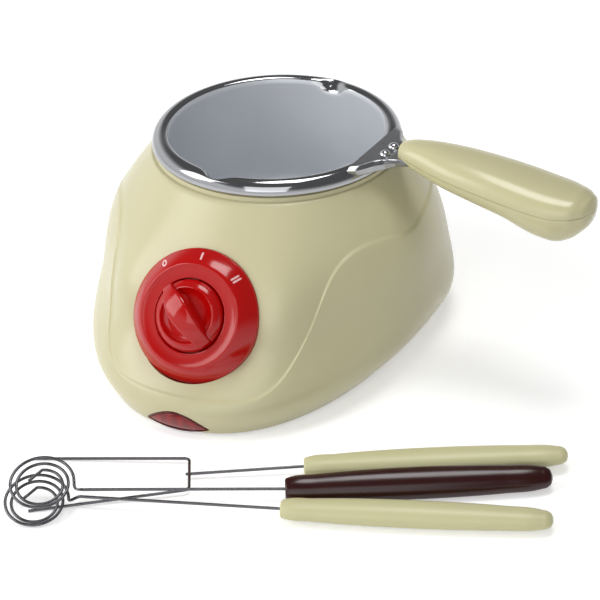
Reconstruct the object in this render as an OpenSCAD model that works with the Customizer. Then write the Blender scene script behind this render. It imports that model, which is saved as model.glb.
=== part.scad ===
// Electric chocolate melting pot with a lift-out pot and three dipping tools.
// Z is up, the table is z = 0, the origin is under the pot's axis, the dial faces -Y.

/* [Housing] */
// Height of the housing's top edge above the table
shell_h = 95; // [92:1:104]
// Height of the housing's bottom edge above the table
foot_gap = 1.5; // [1:0.5:3]
// Reach of the nose in front of the pot's axis
nose_reach = 123; // [118:1:130]
// Reach of the back behind the pot's axis
back_reach = 79; // [77:1:86]
// Half of the housing's greatest width
half_width = 83; // [80:1:90]
// How far the round top edge lies inside the pot's rim
collar_in = 1.5; // [1:0.1:1.9]
// Fullness of the nose at the dial's two sides
full_out = 8; // [6:0.5:9]
// Wall of the housing
wall = 2.4; // [1.8:0.2:3]
// Depth of the moulded step that sweeps round the housing
step_in = 1; // [0.4:0.2:1.4]
// Height of the step under the dial
line_low = 18.8; // [17:0.2:21]
// Height of the step at the sides and the back
line_high = 71.5; // [66:0.5:74]
// Angle from the nose at which the step climbs
line_turn = 36.5; // [34:0.5:40]

/* [Bottom] */
// Thickness of the bottom cover
cover_t = 2.2; // [1.8:0.2:3]
// Radius of a rubber foot
foot_r = 6; // [5:0.5:8]
// Radius of a screw boss
boss_r = 4; // [3.6:0.2:5]
// Height of a screw boss
boss_h = 13; // [11:1:16]
// Thread diameter of the cover screws
screw_d = 3; // [2.6:0.2:3.4]
// Length of a cover screw under its head
screw_l = 10; // [8:1:11]
// Width of a vent slot in the cover
vent_w = 3; // [2:0.5:4]

/* [Heated well] */
// Clearance between the pot's mouth and the well
well_gap = 1.8; // [1.4:0.1:2.2]
// Wall of the well
well_t = 1.2; // [0.8:0.1:1.4]
// Radius of the hole in the well's floor
well_hole_r = 34; // [30:1:36]
// Radius of the heating plate
plate_r = 44; // [40:1:48]
// Thickness of the heating plate
plate_t = 3; // [2:0.5:4]
// Thickness of the mica ring heater
heater_t = 2; // [1.5:0.5:3]
// Radius of the bimetal thermostat
stat_r = 8; // [7:0.5:8.5]
// Height of the bimetal thermostat
stat_h = 8; // [6:0.5:10]
// Height of the heat shield above the table
shield_z = 18; // [16:0.5:20]

/* [Dial] */
// Height of the dial's centre on the nose
dial_z = 49.9; // [48:0.1:53]
// Lean of the dial, as the angle of its normal above level
dial_tilt = 30.5; // [28:0.5:33]
// How far the dial's centre stands in front of the nose
dial_proud = 3.2; // [2:0.1:4]
// Radius of the dial plate
dial_r = 31.6; // [30:0.2:33]
// Radius of the crest round the dial's dish
crest_r = 24; // [23:0.2:25]
// Height of the crest
crest_h = 6.3; // [5.8:0.1:7.5]
// Height of the dish where it meets the knob's pocket
dish_h = 5.7; // [5:0.1:6]
// Height of the floor of the knob's pocket
pocket_h = 1; // [0.5:0.25:2]
// Thickness of the dial plate
dial_t = 2.2; // [1.6:0.2:2.6]
// Turn of the knob from one mark to the next
click_angle = 43; // [38:1:45]
// Radius of the knob's skirt
knob_r = 16.9; // [16:0.1:18]
// Height of the knob
knob_h = 15.4; // [13.4:0.5:16.4]
// Width of the knob's grip bar at its middle
grip_w = 10.4; // [9.4:0.5:11.4]
// Diameter of the switch shaft
shaft_d = 6; // [5:0.5:7]
// Side of the rotary switch's square body
switch_w = 26; // [22:1:28]
// Depth of the rotary switch's body
switch_t = 14; // [12:1:16]

/* [Power lamp] */
// Half of the lens's width
lens_w = 15; // [13:0.5:16.5]
// Height of the lens
lens_h = 9; // [7.5:0.5:10]
// Width of the bezel round the lens
bezel_w = 1.1; // [0.8:0.1:1.6]
// Thickness of the lens
lens_t = 2.6; // [2:0.2:3]

/* [Cord inlet] */
// Height of the cord inlet
inlet_z = 15; // [14:0.5:18]
// Diameter of the cord that the gland takes
cord_d = 5.6; // [5:0.2:6.4]

/* [Pot] */
// Angle at which the pot is turned in its seat
pot_turn = -6.5; // [-30:0.5:30]
// Width of the rim from the mouth to its rolled outer edge
rim_w = 8.2; // [7.8:0.1:9.2]
// Radius of the mouth
mouth_r = 52.8; // [52:0.1:53]
// Height of the rim from its rolled edge to its crest
rim_h = 6; // [5.4:0.1:6.4]
// Height of the pot's floor above the table
bay_h = 41; // [40:0.5:46]
// Radius at the pot's bottom corner
pot_corner = 12; // [9:0.5:15]
// Thickness of the pot's sheet
sheet = 0.8; // [0.6:0.1:1]
// How far a pouring lip pushes the mouth outward
lip_out = 4.6; // [3:0.2:5]
// How far a pouring lip dips
lip_drop = 2.2; // [1.5:0.1:2.6]
// Half width of a pouring lip, as an angle
lip_angle = 6; // [5:0.5:8]

/* [Pot handle] */
// Gap from the rim's outer edge to the handle's nose
grip_gap = 8.5; // [7.5:0.5:10]
// Length of the handle
grip_len = 98.5; // [94:0.5:104]
// Greatest half width of the handle
grip_half = 17; // [15.5:0.5:19]
// Height of the upper half at its fullest
grip_up = 9.5; // [8.5:0.5:11]
// Depth of the lower half at its fullest
grip_down = 16.5; // [15.5:0.5:18.5]
// Wall of the handle's two halves
grip_wall = 2.5; // [2:0.1:3]
// Thickness of the steel bracket
bracket_t = 1.2; // [1:0.1:1.6]
// Length of the tongue in the handle
tongue_in = 28; // [24:1:32]
// Half width of the bracket's tongue in the handle
tongue_w = 6.5; // [5.5:0.5:7]
// Reach of the steel saddle out over the handle's nose
saddle_nose = 5.5; // [4:0.5:7]
// Radius of a rivet's head
rivet_r = 2.6; // [2:0.2:3]

/* [Dipping tools] */
// Length of a tool's handle
tool_len = 119; // [110:1:124]
// Half of the thickness of a tool's oval handle
tool_r = 5.2; // [4.6:0.1:5.6]
// Half of the width of a tool's oval handle
tool_wide = 7.6; // [6:0.2:8]
// Diameter of the tools' wire
wire_d = 1.4; // [1.2:0.1:1.8]
// Bare length of the fork's stem
fork_stem = 52; // [46:1:60]
// Length of the fork's prongs
prong_len = 72; // [60:1:76]
// Width of the fork's crossbar
fork_w = 24; // [20:1:26]
// Bare length of a spiral tool's stem
stem_len = 90; // [84:1:92]
// Radius of a spiral's outer loop
coil_r = 14.8; // [13:0.2:15.2]
// Loops in a spiral
coil_loops = 2.25; // [1.75:0.25:2.5]
// Radius that a spiral loses in each loop
coil_in = 2.6; // [2.4:0.1:2.8]
// Depth that a spiral gains in each loop
coil_down = 1.2; // [0.8:0.1:1.4]

/* [Hidden] */

// Overrun of every cut, and the clearances between pieces
over = 1;
seat_gap = 0.3;
slide_gap = 0.1;
shaft_gap = 0.05;

// Sizes that the pot's mouth sets
rim_r = mouth_r + rim_w;
collar_r = rim_r - collar_in;
well_r = mouth_r + well_gap;
grip_from = rim_r + grip_gap;

// Housing: shares of the driving sizes at five levels, from the bottom to the top edge
level_shares = [0, 0.13, 0.43, 0.74, 1];
nose_shares = [0.98, 1, 0.805, 0.683];
back_shares = [0.987, 1, 1, 0.911];
width_shares = [0.867, 0.982, 1, 0.934];
widest_shares = [0.265, 0.169, -0.042, -0.04, 0];
nose_powers = [2.3, 2.3, 2.1, 2, 2];
back_powers = [2.1, 2.1, 2.25, 2, 2];
line_rate = 0.24;
full_turn = 26;
full_spread = 13;
full_high = 20;
deck_t = 2.6;
deck_r = well_r + well_t + seat_gap;
around = 72;
inside_around = 72;
rows_low = 8;
rows_high = 9;
rows_inside = 8;

// Bottom cover
cover_top = foot_gap + cover_t;
cover_inset = wall + step_in + seat_gap;
screw_rim = 1;
boss_inset = cover_inset + screw_rim + 0.95 * screw_d;
foot_inset = 22;
boss_web = 20;
boss_angles = [38, 142, 218, 322];
foot_angles = [33, 147, 213, 327];
head_r = 1.9 * screw_d / 2;
head_h = 0.7 * screw_d;
vent_l = 34;
vent_step = 9;
vent_count = 5;

// Pot and well levels
rim_low = shell_h + well_t + seat_gap;
crest_z = rim_low + rim_h;
pot_floor = bay_h;
plate_top = pot_floor - sheet - seat_gap;
well_floor = plate_top - plate_t;
well_under = well_floor - well_t;
flange_in = 0.7;
flange_r = collar_r - flange_in;
heater_z = well_under - heater_t - seat_gap;
hub_r = 13;
clamp_t = 1;
clamp_z = heater_z - clamp_t;
clamp_ring = 9;
fuse_r = 2;
fuse_l = 12;
shield_t = 0.8;
spacer_r = 3;
spacer_ring = well_hole_r + 3 * clamp_t + spacer_r + seat_gap;
shield_r = spacer_ring + 2 * spacer_r;

// Dial, knob and switch
dial_drop = 7;
edge_h = -1;
band_power = 1.35;
band_steps = 8;
crest_w = 0.8;
tab_w = 8;
skirt_h = 4.4;
knob_gap = 0.6;
shoulder_h = 8.25;
shoulder_across_shares = [0.87, 0.66, 0.34];
shoulder_up_shares = [0.29, 0.57, 0.86];
recess_h = 6;
recess_r = 13.1;
recess_across_shares = [0.97, 0.885, 0.76];
recess_up_shares = [0.84, 0.44, 0.18];
bar_end_h = 7.9;
dome_across_shares = [0.95, 0.86, 0.72, 0.5, 0.25];
dome_up_shares = [0.117, 0.307, 0.528, 0.784, 0.947];
bar_along_shares = [1.1, 0.9, 0.7, 0.35, 0, -0.33, -0.56, -0.77, -1.1];
bar_half_shares = [0.42, 0.53, 0.73, 1, 0.98, 0.89, 0.81, 0.68, 0.5];
nut_r = 6.2;
nut_t = 2.2;
bush_r = 4.6;
shaft_in = 9;
shaft_flat = 0.8;
knob_roof = 5.2;
hollow_gap = 2;
lug_w = 2;
lug_t = 0.5;
lug_l = 4;

// Power lamp
lens_low = foot_gap + 0.6;
lamp_r = 3;
lamp_l = 12;
holder_w = 18;
holder_t = 7;

// Cord inlet, terminal block and wires
gland_flange = 2;
gland_in = wall + step_in + gland_flange + 4 * seat_gap;
block_w = 26;
block_l = 12;
block_h = 10;
block_back = 31;
block_y = back_reach - block_back;
lead_fore = 75;
lead_d = 2;
lead_sides = 6;

// Pot
mouth_turn = 0.4;
pot_draft = 2;
pot_around = 96;

// Pot handle: shares of its driving sizes along its length
reach_shares = [0, 0.04, 0.12, 0.26, 0.42, 0.6, 0.75, 0.87, 0.95, 0.985, 1];
half_shares = [0.3, 0.42, 0.58, 0.8, 0.93, 1, 1, 0.9, 0.64, 0.36, 0.04];
up_shares = [0.45, 0.62, 0.82, 0.95, 1, 1, 0.97, 0.88, 0.66, 0.4, 0.05];
down_shares = [0.22, 0.3, 0.38, 0.5, 0.6, 0.74, 0.98, 0.95, 0.62, 0.34, 0.04];
axis_shares = [0.35, 0.3, 0.2, 0.06, -0.1, -0.3, -0.48, -0.55, -0.5, -0.46, -0.44];
grip_power = 2.3;
grip_sides = 14;
grip_drop = 0.6;
seam_gap = 0.1;
flange_out = 2.2;
plate_reach = rim_r + 2 * flange_out;
saddle_angle = 23;
saddle_half = 18.5;
saddle_shares = [1, 0.65, 0.49, 0.38];
saddle_slot = saddle_half * saddle_shares[2] + slide_gap;
flange_shares = [0.87, 0.57, 0.42];
flange_low_shares = [0.42, 0.6, 0.85];
rivet_out = 1.2;
rivet_x = rim_r + rivet_out;
rivet_y = 0.85 * tongue_w - rivet_r / 2;
tongue_z = crest_z + slide_gap - bracket_t - slide_gap;
tongue_from = rivet_x - 0.75 * rivet_r;
tongue_to = grip_from + tongue_in;
grip_axis = crest_z - grip_drop;
post_r = 0.95 * screw_d + slide_gap + grip_wall / 2;
post_shares = [0.22, 0.72];
posts = [for (s = post_shares) grip_from + s * grip_len];
post_floor = 3;
screw_bite = 5;

// Dipping tools: where each stem enters its handle, and which way the tool lies
fork_x = 68.4;
fork_fore = 6.6;
fork_at = [fork_x, -nose_reach - fork_fore];
fork_turn = 23.7;
fork_kick = 2.2;
cream_x = 72.5;
cream_fore = 41.2;
cream_at = [cream_x, -nose_reach - cream_fore];
cream_turn = 17.5;
cream_kick = -1.7;
brown_x = 68.7;
brown_fore = 28;
brown_at = [brown_x, -nose_reach - brown_fore];
brown_turn = 25.7;
brown_kick = -3.9;
brown_roll = 30;
fork_splay = 6.4;
wire_in = 15;
coil_lean = 17;
coil_face = 25;
cream_coil_x = -31.2;
cream_coil_fore = 76.2;
cream_coil_z = 5.8;
cream_coil = [cream_coil_x, -nose_reach - cream_coil_fore, cream_coil_z];
brown_coil_x = -28.4;
brown_coil_fore = 74.7;
brown_coil_z = 15.2;
brown_coil = [brown_coil_x, -nose_reach - brown_coil_fore, brown_coil_z];
tail_len = 8;
brown_z = norm([tool_wide * sin(brown_roll), tool_r * cos(brown_roll)]);
tool_sides = 24;
tool_rings = 12;
tool_reach_shares = [0, 0.004, 0.012, 0.12, 0.28, 0.46, 0.64, 0.82, 0.955, 0.982, 0.995, 1];
tool_girth_shares = [0.56, 0.64, 0.69, 0.83, 0.95, 1, 0.98, 0.88, 0.72, 0.6, 0.4, 0.18];
loop_rings = 24;
wire_sides = 6;

// Cubic curve through the knots k, with slopes from their neighbours
function knot(k, x, i = 0) = (i >= len(k) - 2 || x < k[i + 1]) ? i : knot(k, x, i + 1);
function rise(k, v, i) = (v[i + 1] - v[i]) / (k[i + 1] - k[i]);
function slope(k, v, i) =
    i == 0 ? rise(k, v, 0)
    : i == len(k) - 1 ? rise(k, v, i - 1)
    : let (a = k[i] - k[i - 1], b = k[i + 1] - k[i])
        (rise(k, v, i - 1) * b + rise(k, v, i) * a) / (a + b);
function curve(k, v, x) =
    let (i = knot(k, x), h = k[i + 1] - k[i], t = (x - k[i]) / h)
        v[i] * (1 + 2 * t) * (1 - t) ^ 2 + slope(k, v, i) * h * t * (1 - t) ^ 2
        + v[i + 1] * t * t * (3 - 2 * t) + slope(k, v, i + 1) * h * t * t * (t - 1);

// Housing outline at height z and angle t from the nose, moved inward by d
nose_at = [for (s = nose_shares) s * nose_reach, collar_r];
back_at = [for (s = back_shares) s * back_reach, collar_r];
width_at = [for (s = width_shares) s * half_width, collar_r];
widest_at = [for (s = widest_shares) s * half_width];
function nose(z) = curve(level_shares, nose_at, z / shell_h);
function outline(z, t, d = 0) =
    let (s = z / shell_h,
        c = curve(level_shares, widest_at, s),
        power = cos(t) > 0 ? curve(level_shares, nose_powers, s) : curve(level_shares, back_powers, s),
        reach = cos(t) > 0 ? -c - nose(z) : curve(level_shares, back_at, s) - c,
        x = curve(level_shares, width_at, s) * sign(sin(t)) * abs(sin(t)) ^ (2 / power),
        y = reach * abs(cos(t)) ^ (2 / power),
        far = norm([x, y]),
        full = full_out * exp(-((bend(t) - full_turn) / full_spread) ^ 2 - ((z - dial_z) / full_high) ^ 2),
        grown = 1 + full / norm([x, c + y]),
        in = d / far)
        [(x - x * in) * grown, (c + y - y * in) * grown];
function bend(t) = t > 180 ? 360 - t : t;
function line_z(t) = line_low + (line_high - line_low) / (1 + exp((line_turn - bend(t)) * line_rate));
function ring(count, z, d) = [for (i = [0 : count - 1]) let (p = outline(z, i * 360 / count, d)) [p.x,
    p.y, z]];

// Closed skin over rings of points that climb, each ring counterclockwise from above
module skin(rings) {
    n = len(rings[0]);
    last = (len(rings) - 1) * n;
    points = [for (r = rings) each r];
    sides = [for (i = [0 : len(rings) - 2], j = [0 : n - 1])
        let (a = i * n + j, b = i * n + (j + 1) % n) each [[a, a + n, b + n], [a, b + n, b]]];
    polyhedron(points, concat(sides, [[for (j = [0 : n - 1]) j]],
        [[for (j = [0 : n - 1]) last + n - 1 - j]]));
}

// Solid of the housing's outside, with the step that follows the line
module outside() {
    angles = [for (i = [0 : around - 1]) i * 360 / around];
    low = [for (k = [0 : rows_low]) [for (t = angles)
        let (z = foot_gap + (line_z(t) - foot_gap) * k / rows_low, p = outline(z, t)) [p.x, p.y, z]]];
    high = [for (k = [0 : rows_high]) [for (t = angles)
        let (from = line_z(t) + step_in / 2,
            z = from + (shell_h - from) * k / rows_high,
            p = outline(z, t, step_in * (1 - k / rows_high) ^ 0.5)) [p.x, p.y, z]]];
    skin(concat(low, high));
}

module inside() {
    top = shell_h - deck_t;
    bottom = foot_gap - over;
    skin([for (k = [0 : rows_inside]) let (z = bottom + (top - bottom) * k / rows_inside)
        ring(inside_around, z, wall + step_in)]);
}

module at_dial() {
    translate([0, -nose(dial_z) - dial_proud, dial_z]) rotate([90 - dial_tilt, 0, 0]) children();
}

module at_marks(angles, inset, z) {
    for (t = angles) {
        p = outline(foot_gap, t, inset);
        edge = outline(foot_gap, t);
        translate([p.x, p.y, z]) rotate(atan2(edge.y - p.y, edge.x - p.x)) children();
    }
}

// Eye-shaped opening for the lamp, seen from the front, grown by g
module eye(g) {
    steps = 12;
    arch = [for (i = [0 : steps]) let (s = i / steps * 2 - 1)
        [s * (lens_w + g), lens_low + lens_h * 0.22 + (lens_h * 0.78 + g) * (1 - s * s)]];
    floor_line = [for (i = [steps - 1 : -1 : 1]) let (s = i / steps * 2 - 1)
        [s * (lens_w + g), lens_low + lens_h * 0.22 * s * s - g * (1 - s * s)]];
    translate([0, -nose_reach / 2, 0]) rotate([90, 0, 0])
        linear_extrude(nose_reach) polygon(concat(arch, floor_line));
}

module base_shell() color([0.83, 0.80, 0.66]) {
    difference() {
        outside();
        difference() {
            inside();
            at_marks(boss_angles, boss_inset, cover_top + slide_gap) {
                cylinder(h = boss_h, r = boss_r, $fn = 32);
                translate([0, -wall / 2, 0]) cube([boss_web, wall, boss_h]);
            }
        }
        translate([0, 0, shell_h - deck_t - over]) cylinder(h = deck_t + 2 * over, r = deck_r, $fn = 96);
        at_dial() translate([0, 0, -2 * dial_drop])
            cylinder(h = 4 * dial_drop, r = dial_r + slide_gap, $fn = 96);
        translate([0, back_reach / 2, inlet_z]) rotate([-90, 0, 0])
            cylinder(h = back_reach, r = cord_d / 2 + wall + slide_gap, $fn = 48);
        eye(bezel_w + slide_gap);
        at_marks(boss_angles, boss_inset, foot_gap) cylinder(h = screw_l + over, d = screw_d, $fn = 24);
    }
}

module bottom_cover() color([0.25, 0.24, 0.22]) {
    difference() {
        translate([0, 0, foot_gap]) linear_extrude(cover_t)
            polygon([for (i = [0 : around - 1]) outline(foot_gap, i * 360 / around, cover_inset)]);
        at_marks(boss_angles, boss_inset, 0)
            cylinder(h = cover_top + over, d = screw_d + 2 * slide_gap, $fn = 24);
        at_marks(foot_angles, foot_inset, 0)
            cylinder(h = cover_top + over, r = foot_r / 2 + slide_gap, $fn = 32);
        for (i = [0 : vent_count - 1])
            translate([-vent_l / 2, (i - (vent_count - 1) / 2) * vent_step - vent_w / 2, 0])
                cube([vent_l, vent_w, cover_top + over]);
    }
}

module rubber_feet() color([0.13, 0.13, 0.13]) {
    at_marks(foot_angles, foot_inset, 0) {
        cylinder(h = foot_gap, r = foot_r, $fn = 48);
        translate([0, 0, foot_gap - over]) cylinder(h = cover_t + 2 * over, r = foot_r / 2, $fn = 32);
    }
}

module cover_screws() color([0.7, 0.7, 0.7]) {
    at_marks(boss_angles, boss_inset, foot_gap) {
        translate([0, 0, -foot_gap / 2]) cylinder(h = foot_gap / 2, r = head_r, $fn = 32);
        translate([0, 0, -foot_gap / 2])
            cylinder(h = screw_l + foot_gap / 2, d = screw_d - 2 * shaft_gap, $fn = 24);
    }
}

module heater_well() color([0.78, 0.75, 0.62]) {
    rotate_extrude($fn = 120) difference() {
        union() {
            translate([0, well_under]) square([well_r + well_t, shell_h + well_t - well_under]);
            translate([0, shell_h]) square([flange_r, well_t]);
        }
        translate([0, well_floor]) square([well_r, shell_h]);
        translate([0, well_under - over]) square([well_hole_r, well_t + 2 * over]);
    }
}

module heating_plate() color([0.72, 0.73, 0.75]) {
    difference() {
        union() {
            translate([0, 0, well_floor]) cylinder(h = plate_t, r = plate_r, $fn = 96);
            translate([0, 0, heater_z + heater_t])
                cylinder(h = well_floor - heater_z - heater_t, r = well_hole_r - seat_gap, $fn = 96);
            translate([0, 0, heater_z]) cylinder(h = well_floor - heater_z, r = hub_r, $fn = 64);
        }
        for (t = [0 : 120 : 240]) rotate(t) translate([clamp_ring, 0, heater_z - over])
            cylinder(h = heater_t + well_t + over, d = screw_d, $fn = 24);
    }
}

module heater_ring() color([0.80, 0.72, 0.50]) {
    translate([0, 0, heater_z]) difference() {
        cylinder(h = heater_t, r = well_hole_r - 2 * heater_t, $fn = 96);
        translate([0, 0, -over]) cylinder(h = heater_t + 2 * over, r = hub_r + seat_gap, $fn = 64);
    }
}

module heater_clamp() color([0.62, 0.63, 0.65]) {
    translate([0, 0, clamp_z]) difference() {
        cylinder(h = well_under - clamp_z, r = well_hole_r + 3 * clamp_t, $fn = 96);
        translate([0, 0, clamp_t]) cylinder(h = well_under, r = well_hole_r + 2 * clamp_t, $fn = 96);
        for (t = [0 : 120 : 240]) rotate(t) translate([clamp_ring, 0, -over])
            cylinder(h = clamp_t + 2 * over, d = screw_d + 2 * slide_gap, $fn = 24);
    }
}

module clamp_screws() color([0.7, 0.7, 0.7]) {
    for (t = [0 : 120 : 240]) rotate(t) translate([clamp_ring, 0, clamp_z]) {
        translate([0, 0, -head_h]) cylinder(h = head_h, r = head_r, $fn = 32);
        translate([0, 0, -over]) cylinder(h = clamp_t + heater_t + over, d = screw_d - 2 * shaft_gap,
            $fn = 24);
    }
}

stat_x = clamp_ring + head_r + stat_r + seat_gap;
module thermostat() color([0.85, 0.83, 0.78]) {
    translate([stat_x, 0, clamp_z - stat_h]) {
        cylinder(h = stat_h, r = stat_r, $fn = 48);
        for (side = [-1, 1]) translate([-lug_w / 2, side * stat_r / 2 - lug_t / 2, -lug_l / 2])
            cube([lug_w, lug_t, lug_l]);
    }
}

module thermal_fuse() color([0.75, 0.70, 0.60]) {
    translate([-stat_x, -fuse_l / 2, clamp_z - fuse_r]) rotate([-90, 0, 0]) {
        cylinder(h = fuse_l, r = fuse_r, $fn = 32);
        translate([0, 0, -fuse_l / 2]) cylinder(h = 2 * fuse_l, r = fuse_r / 4, $fn = 16);
    }
}

module heat_shield() color([0.66, 0.67, 0.69]) {
    translate([0, 0, shield_z]) difference() {
        cylinder(h = shield_t, r = shield_r, $fn = 96);
        for (t = [60 : 120 : 300]) rotate(t) translate([spacer_ring, 0, -over])
            cylinder(h = shield_t + 2 * over, r = spacer_r / 2 + slide_gap, $fn = 24);
    }
}

module shield_spacers() color([0.6, 0.6, 0.6]) {
    for (t = [60 : 120 : 300]) rotate(t) translate([spacer_ring, 0, 0]) {
        translate([0, 0, shield_z + shield_t])
            cylinder(h = well_under - shield_z - shield_t, r = spacer_r, $fn = 32);
        translate([0, 0, shield_z - shield_t])
            cylinder(h = 2 * shield_t + over, r = spacer_r / 2, $fn = 24);
    }
}

module rotary_switch() color([0.20, 0.20, 0.22]) {
    back = pocket_h - dial_t;
    at_dial() difference() {
        union() {
            translate([-switch_w / 2, -switch_w / 2, back - switch_t]) cube([switch_w, switch_w, switch_t]);
            translate([0, 0, back - over]) cylinder(h = dial_t + nut_t + over, r = bush_r, $fn = 48);
            for (side = [-1, 1]) translate([side * switch_w / 4 - lug_w / 2, -lug_t / 2,
                back - switch_t - lug_l])
                cube([lug_w, lug_t, lug_l + over]);
        }
        translate([0, 0, pocket_h - shaft_in - shaft_gap])
            cylinder(h = shaft_in + nut_t + over, d = shaft_d + 2 * shaft_gap, $fn = 48);
    }
}

module switch_nut() color([0.72, 0.70, 0.62]) {
    at_dial() translate([0, 0, pocket_h]) difference() {
        cylinder(h = nut_t, r = nut_r, $fn = 6);
        translate([0, 0, -over]) cylinder(h = nut_t + 2 * over, r = bush_r + shaft_gap, $fn = 48);
    }
}

// Dial plate: a pocket for the knob inside a shallow dish, a crest and a band that falls to the skirt
function band_h(s) = edge_h + (crest_h - edge_h) * (1 - s ^ band_power);
module dial_plate() color([0.66, 0.05, 0.05]) {
    pocket_r = knob_r + knob_gap;
    band = [for (i = [0 : band_steps]) let (s = i / band_steps) [crest_r + (dial_r - crest_r) * s,
        band_h(s)]];
    under = [for (i = [band_steps : -1 : 0]) let (s = i / band_steps)
        [crest_r + (dial_r - dial_t - crest_r) * s, band_h(s) - dial_t]];
    at_dial() {
        rotate_extrude($fn = 120) polygon(concat(
            [[bush_r + slide_gap, pocket_h], [pocket_r, pocket_h], [pocket_r, dish_h],
                [crest_r - crest_w, crest_h - slide_gap]], band,
            [[dial_r, -dial_drop], [dial_r - dial_t, -dial_drop]], under,
            [[pocket_r + dial_t, dish_h - dial_t], [pocket_r + dial_t, pocket_h - dial_t],
                [bush_r + slide_gap, pocket_h - dial_t]]));
        for (side = [0, 180]) rotate(side)
            translate([dial_r - 0.9 * dial_t, -tab_w / 2, -dial_drop - dial_t])
            cube([dial_t / 2, tab_w, 2 * dial_t]);
    }
}

module switch_shaft() color([0.75, 0.76, 0.78]) {
    at_dial() rotate(click_angle) translate([0, 0, pocket_h - shaft_in]) difference() {
        cylinder(h = shaft_in + knob_h - knob_roof, d = shaft_d, $fn = 48);
        translate([-shaft_d, shaft_d / 2 - shaft_flat, shaft_in + nut_t + over])
            cube([2 * shaft_d, shaft_d, knob_h]);
    }
}

// Knob: a dome on a skirt, scooped out on both sides of a bar that narrows to its pointer
module knob() color([0.70, 0.05, 0.05]) {
    low = pocket_h + knob_gap;
    hollow = nut_t + over;
    shoulder = [for (i = [0 : 2]) [recess_r + (knob_r - recess_r) * shoulder_across_shares[i],
        skirt_h + (shoulder_h - skirt_h) * shoulder_up_shares[i]]];
    recess = [for (i = [0 : 2])
        [recess_r * recess_across_shares[i], recess_h + (shoulder_h - recess_h) * recess_up_shares[i]]];
    dome = [for (i = [0 : 4])
        [knob_r * dome_across_shares[i], bar_end_h + (knob_h - bar_end_h) * dome_up_shares[i]]];
    leaf = [for (side = [1, -1]) for (j = [0 : 8]) let (i = side > 0 ? j : 8 - j)
        [side * grip_w / 2 * bar_half_shares[i], knob_r * bar_along_shares[i]]];
    at_dial() rotate(click_angle) translate([0, 0, low]) difference() {
        union() {
            rotate_extrude($fn = 96) polygon(concat([[0, 0], [knob_r, 0], [knob_r, skirt_h]], shoulder,
                [[recess_r, shoulder_h]], recess, [[0, recess_h]]));
            intersection() {
                rotate_extrude($fn = 96)
                    polygon(concat([[0, hollow], [knob_r, hollow], [knob_r, bar_end_h]], dome,
                        [[0, knob_h]]));
                linear_extrude(2 * knob_h) polygon(leaf);
            }
        }
        translate([0, 0, -over]) cylinder(h = hollow + over, r = nut_r + hollow_gap, $fn = 64);
        difference() {
            cylinder(h = knob_h - knob_roof - knob_gap + slide_gap, d = shaft_d + 2 * shaft_gap, $fn = 48);
            translate([-shaft_d, shaft_d / 2 - shaft_flat + shaft_gap, hollow])
                cube([2 * shaft_d, shaft_d, knob_h]);
        }
    }
}

// Curved plate at the foot of the nose, t thick, grown by g
module nose_plate(g, t) {
    spread = 16;
    steps = 8;
    levels = 6;
    skin([for (k = [0 : levels])
        let (z = foot_gap - bezel_w + (lens_low + lens_h + 3 * bezel_w) * k / levels)
        [for (i = [-steps : steps]) let (p = outline(max(z, 0), (360 + spread * i / steps) % 360,
            -g)) [p.x, p.y, z],
         for (i = [steps : -1 : -steps]) let (p = outline(max(z, 0), (360 + spread * i / steps) % 360,
             t - g)) [p.x, p.y, z]]]);
}

module lamp_lens() color([0.62, 0.03, 0.03]) {
    intersection() {
        nose_plate(0, lens_t);
        eye(-slide_gap);
    }
}

module lamp_bezel() color([0.35, 0.02, 0.02]) {
    difference() {
        intersection() {
            nose_plate(bezel_w / 2, lens_t);
            eye(bezel_w);
        }
        eye(0);
    }
}

lamp_y = -nose(lens_low + lamp_r) + lens_t + 3 * lamp_r;
lamp_z = cover_top + 1.4 * lamp_r;
module neon_lamp() color([0.95, 0.55, 0.30]) {
    translate([-lamp_l / 2, lamp_y, lamp_z]) rotate([0, 90, 0]) cylinder(h = lamp_l, r = lamp_r, $fn = 32);
}

module lamp_holder() color([0.90, 0.88, 0.82]) {
    translate([-holder_w / 2, lamp_y, cover_top]) difference() {
        cube([holder_w, holder_t, 2.8 * lamp_r]);
        translate([-over, 0, lamp_z - cover_top]) rotate([0, 90, 0])
            cylinder(h = holder_w + 2 * over, r = lamp_r + slide_gap, $fn = 32);
    }
}

module terminal_block() color([0.92, 0.90, 0.85]) {
    translate([-block_w / 2, block_y, cover_top]) difference() {
        cube([block_w, block_l, block_h]);
        for (i = [0 : 2]) translate([block_w * (2 * i + 1) / 6, block_l / 2, block_h / 2]) {
            cylinder(h = block_h, r = lead_d, $fn = 24);
            rotate([90, 0, 0]) cylinder(h = 2 * block_l, r = lead_d * 0.75, center = true, $fn = 24);
        }
    }
}

inlet_y = outline(inlet_z, 180).y;
module cord_gland() color([0.16, 0.16, 0.16]) {
    neck = cord_d / 2 + wall;
    translate([0, inlet_y, inlet_z]) rotate([-90, 0, 0]) difference() {
        union() {
            translate([0, 0, seat_gap]) cylinder(h = gland_flange, r = neck + gland_flange, $fn = 48);
            translate([0, 0, seat_gap - gland_in])
                cylinder(h = gland_in + gland_flange, r = neck, $fn = 48);
            translate([0, 0, seat_gap - gland_in])
                cylinder(h = gland_flange, r = neck + gland_flange, $fn = 48);
        }
        translate([0, 0, -2 * gland_in]) cylinder(h = 4 * gland_in, d = cord_d, $fn = 48);
    }
}

// Tube of n sides along a route; the reference is a direction that the route never takes
function unit(v) = v / norm(v);
module tube(route, r, n, reference) {
    last = len(route) - 1;
    skin([for (i = [0 : last])
        let (way = unit(route[min(i + 1, last)] - route[max(i - 1, 0)]),
            side = unit(cross(reference, way)), up = cross(way, side))
            [for (j = [0 : n - 1]) let (a = 360 * j / n) route[i] + r * (cos(a) * side + sin(a) * up)]]);
}

module lead(route) tube(route, lead_d / 2, lead_sides, [1, 0, 0]);

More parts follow.
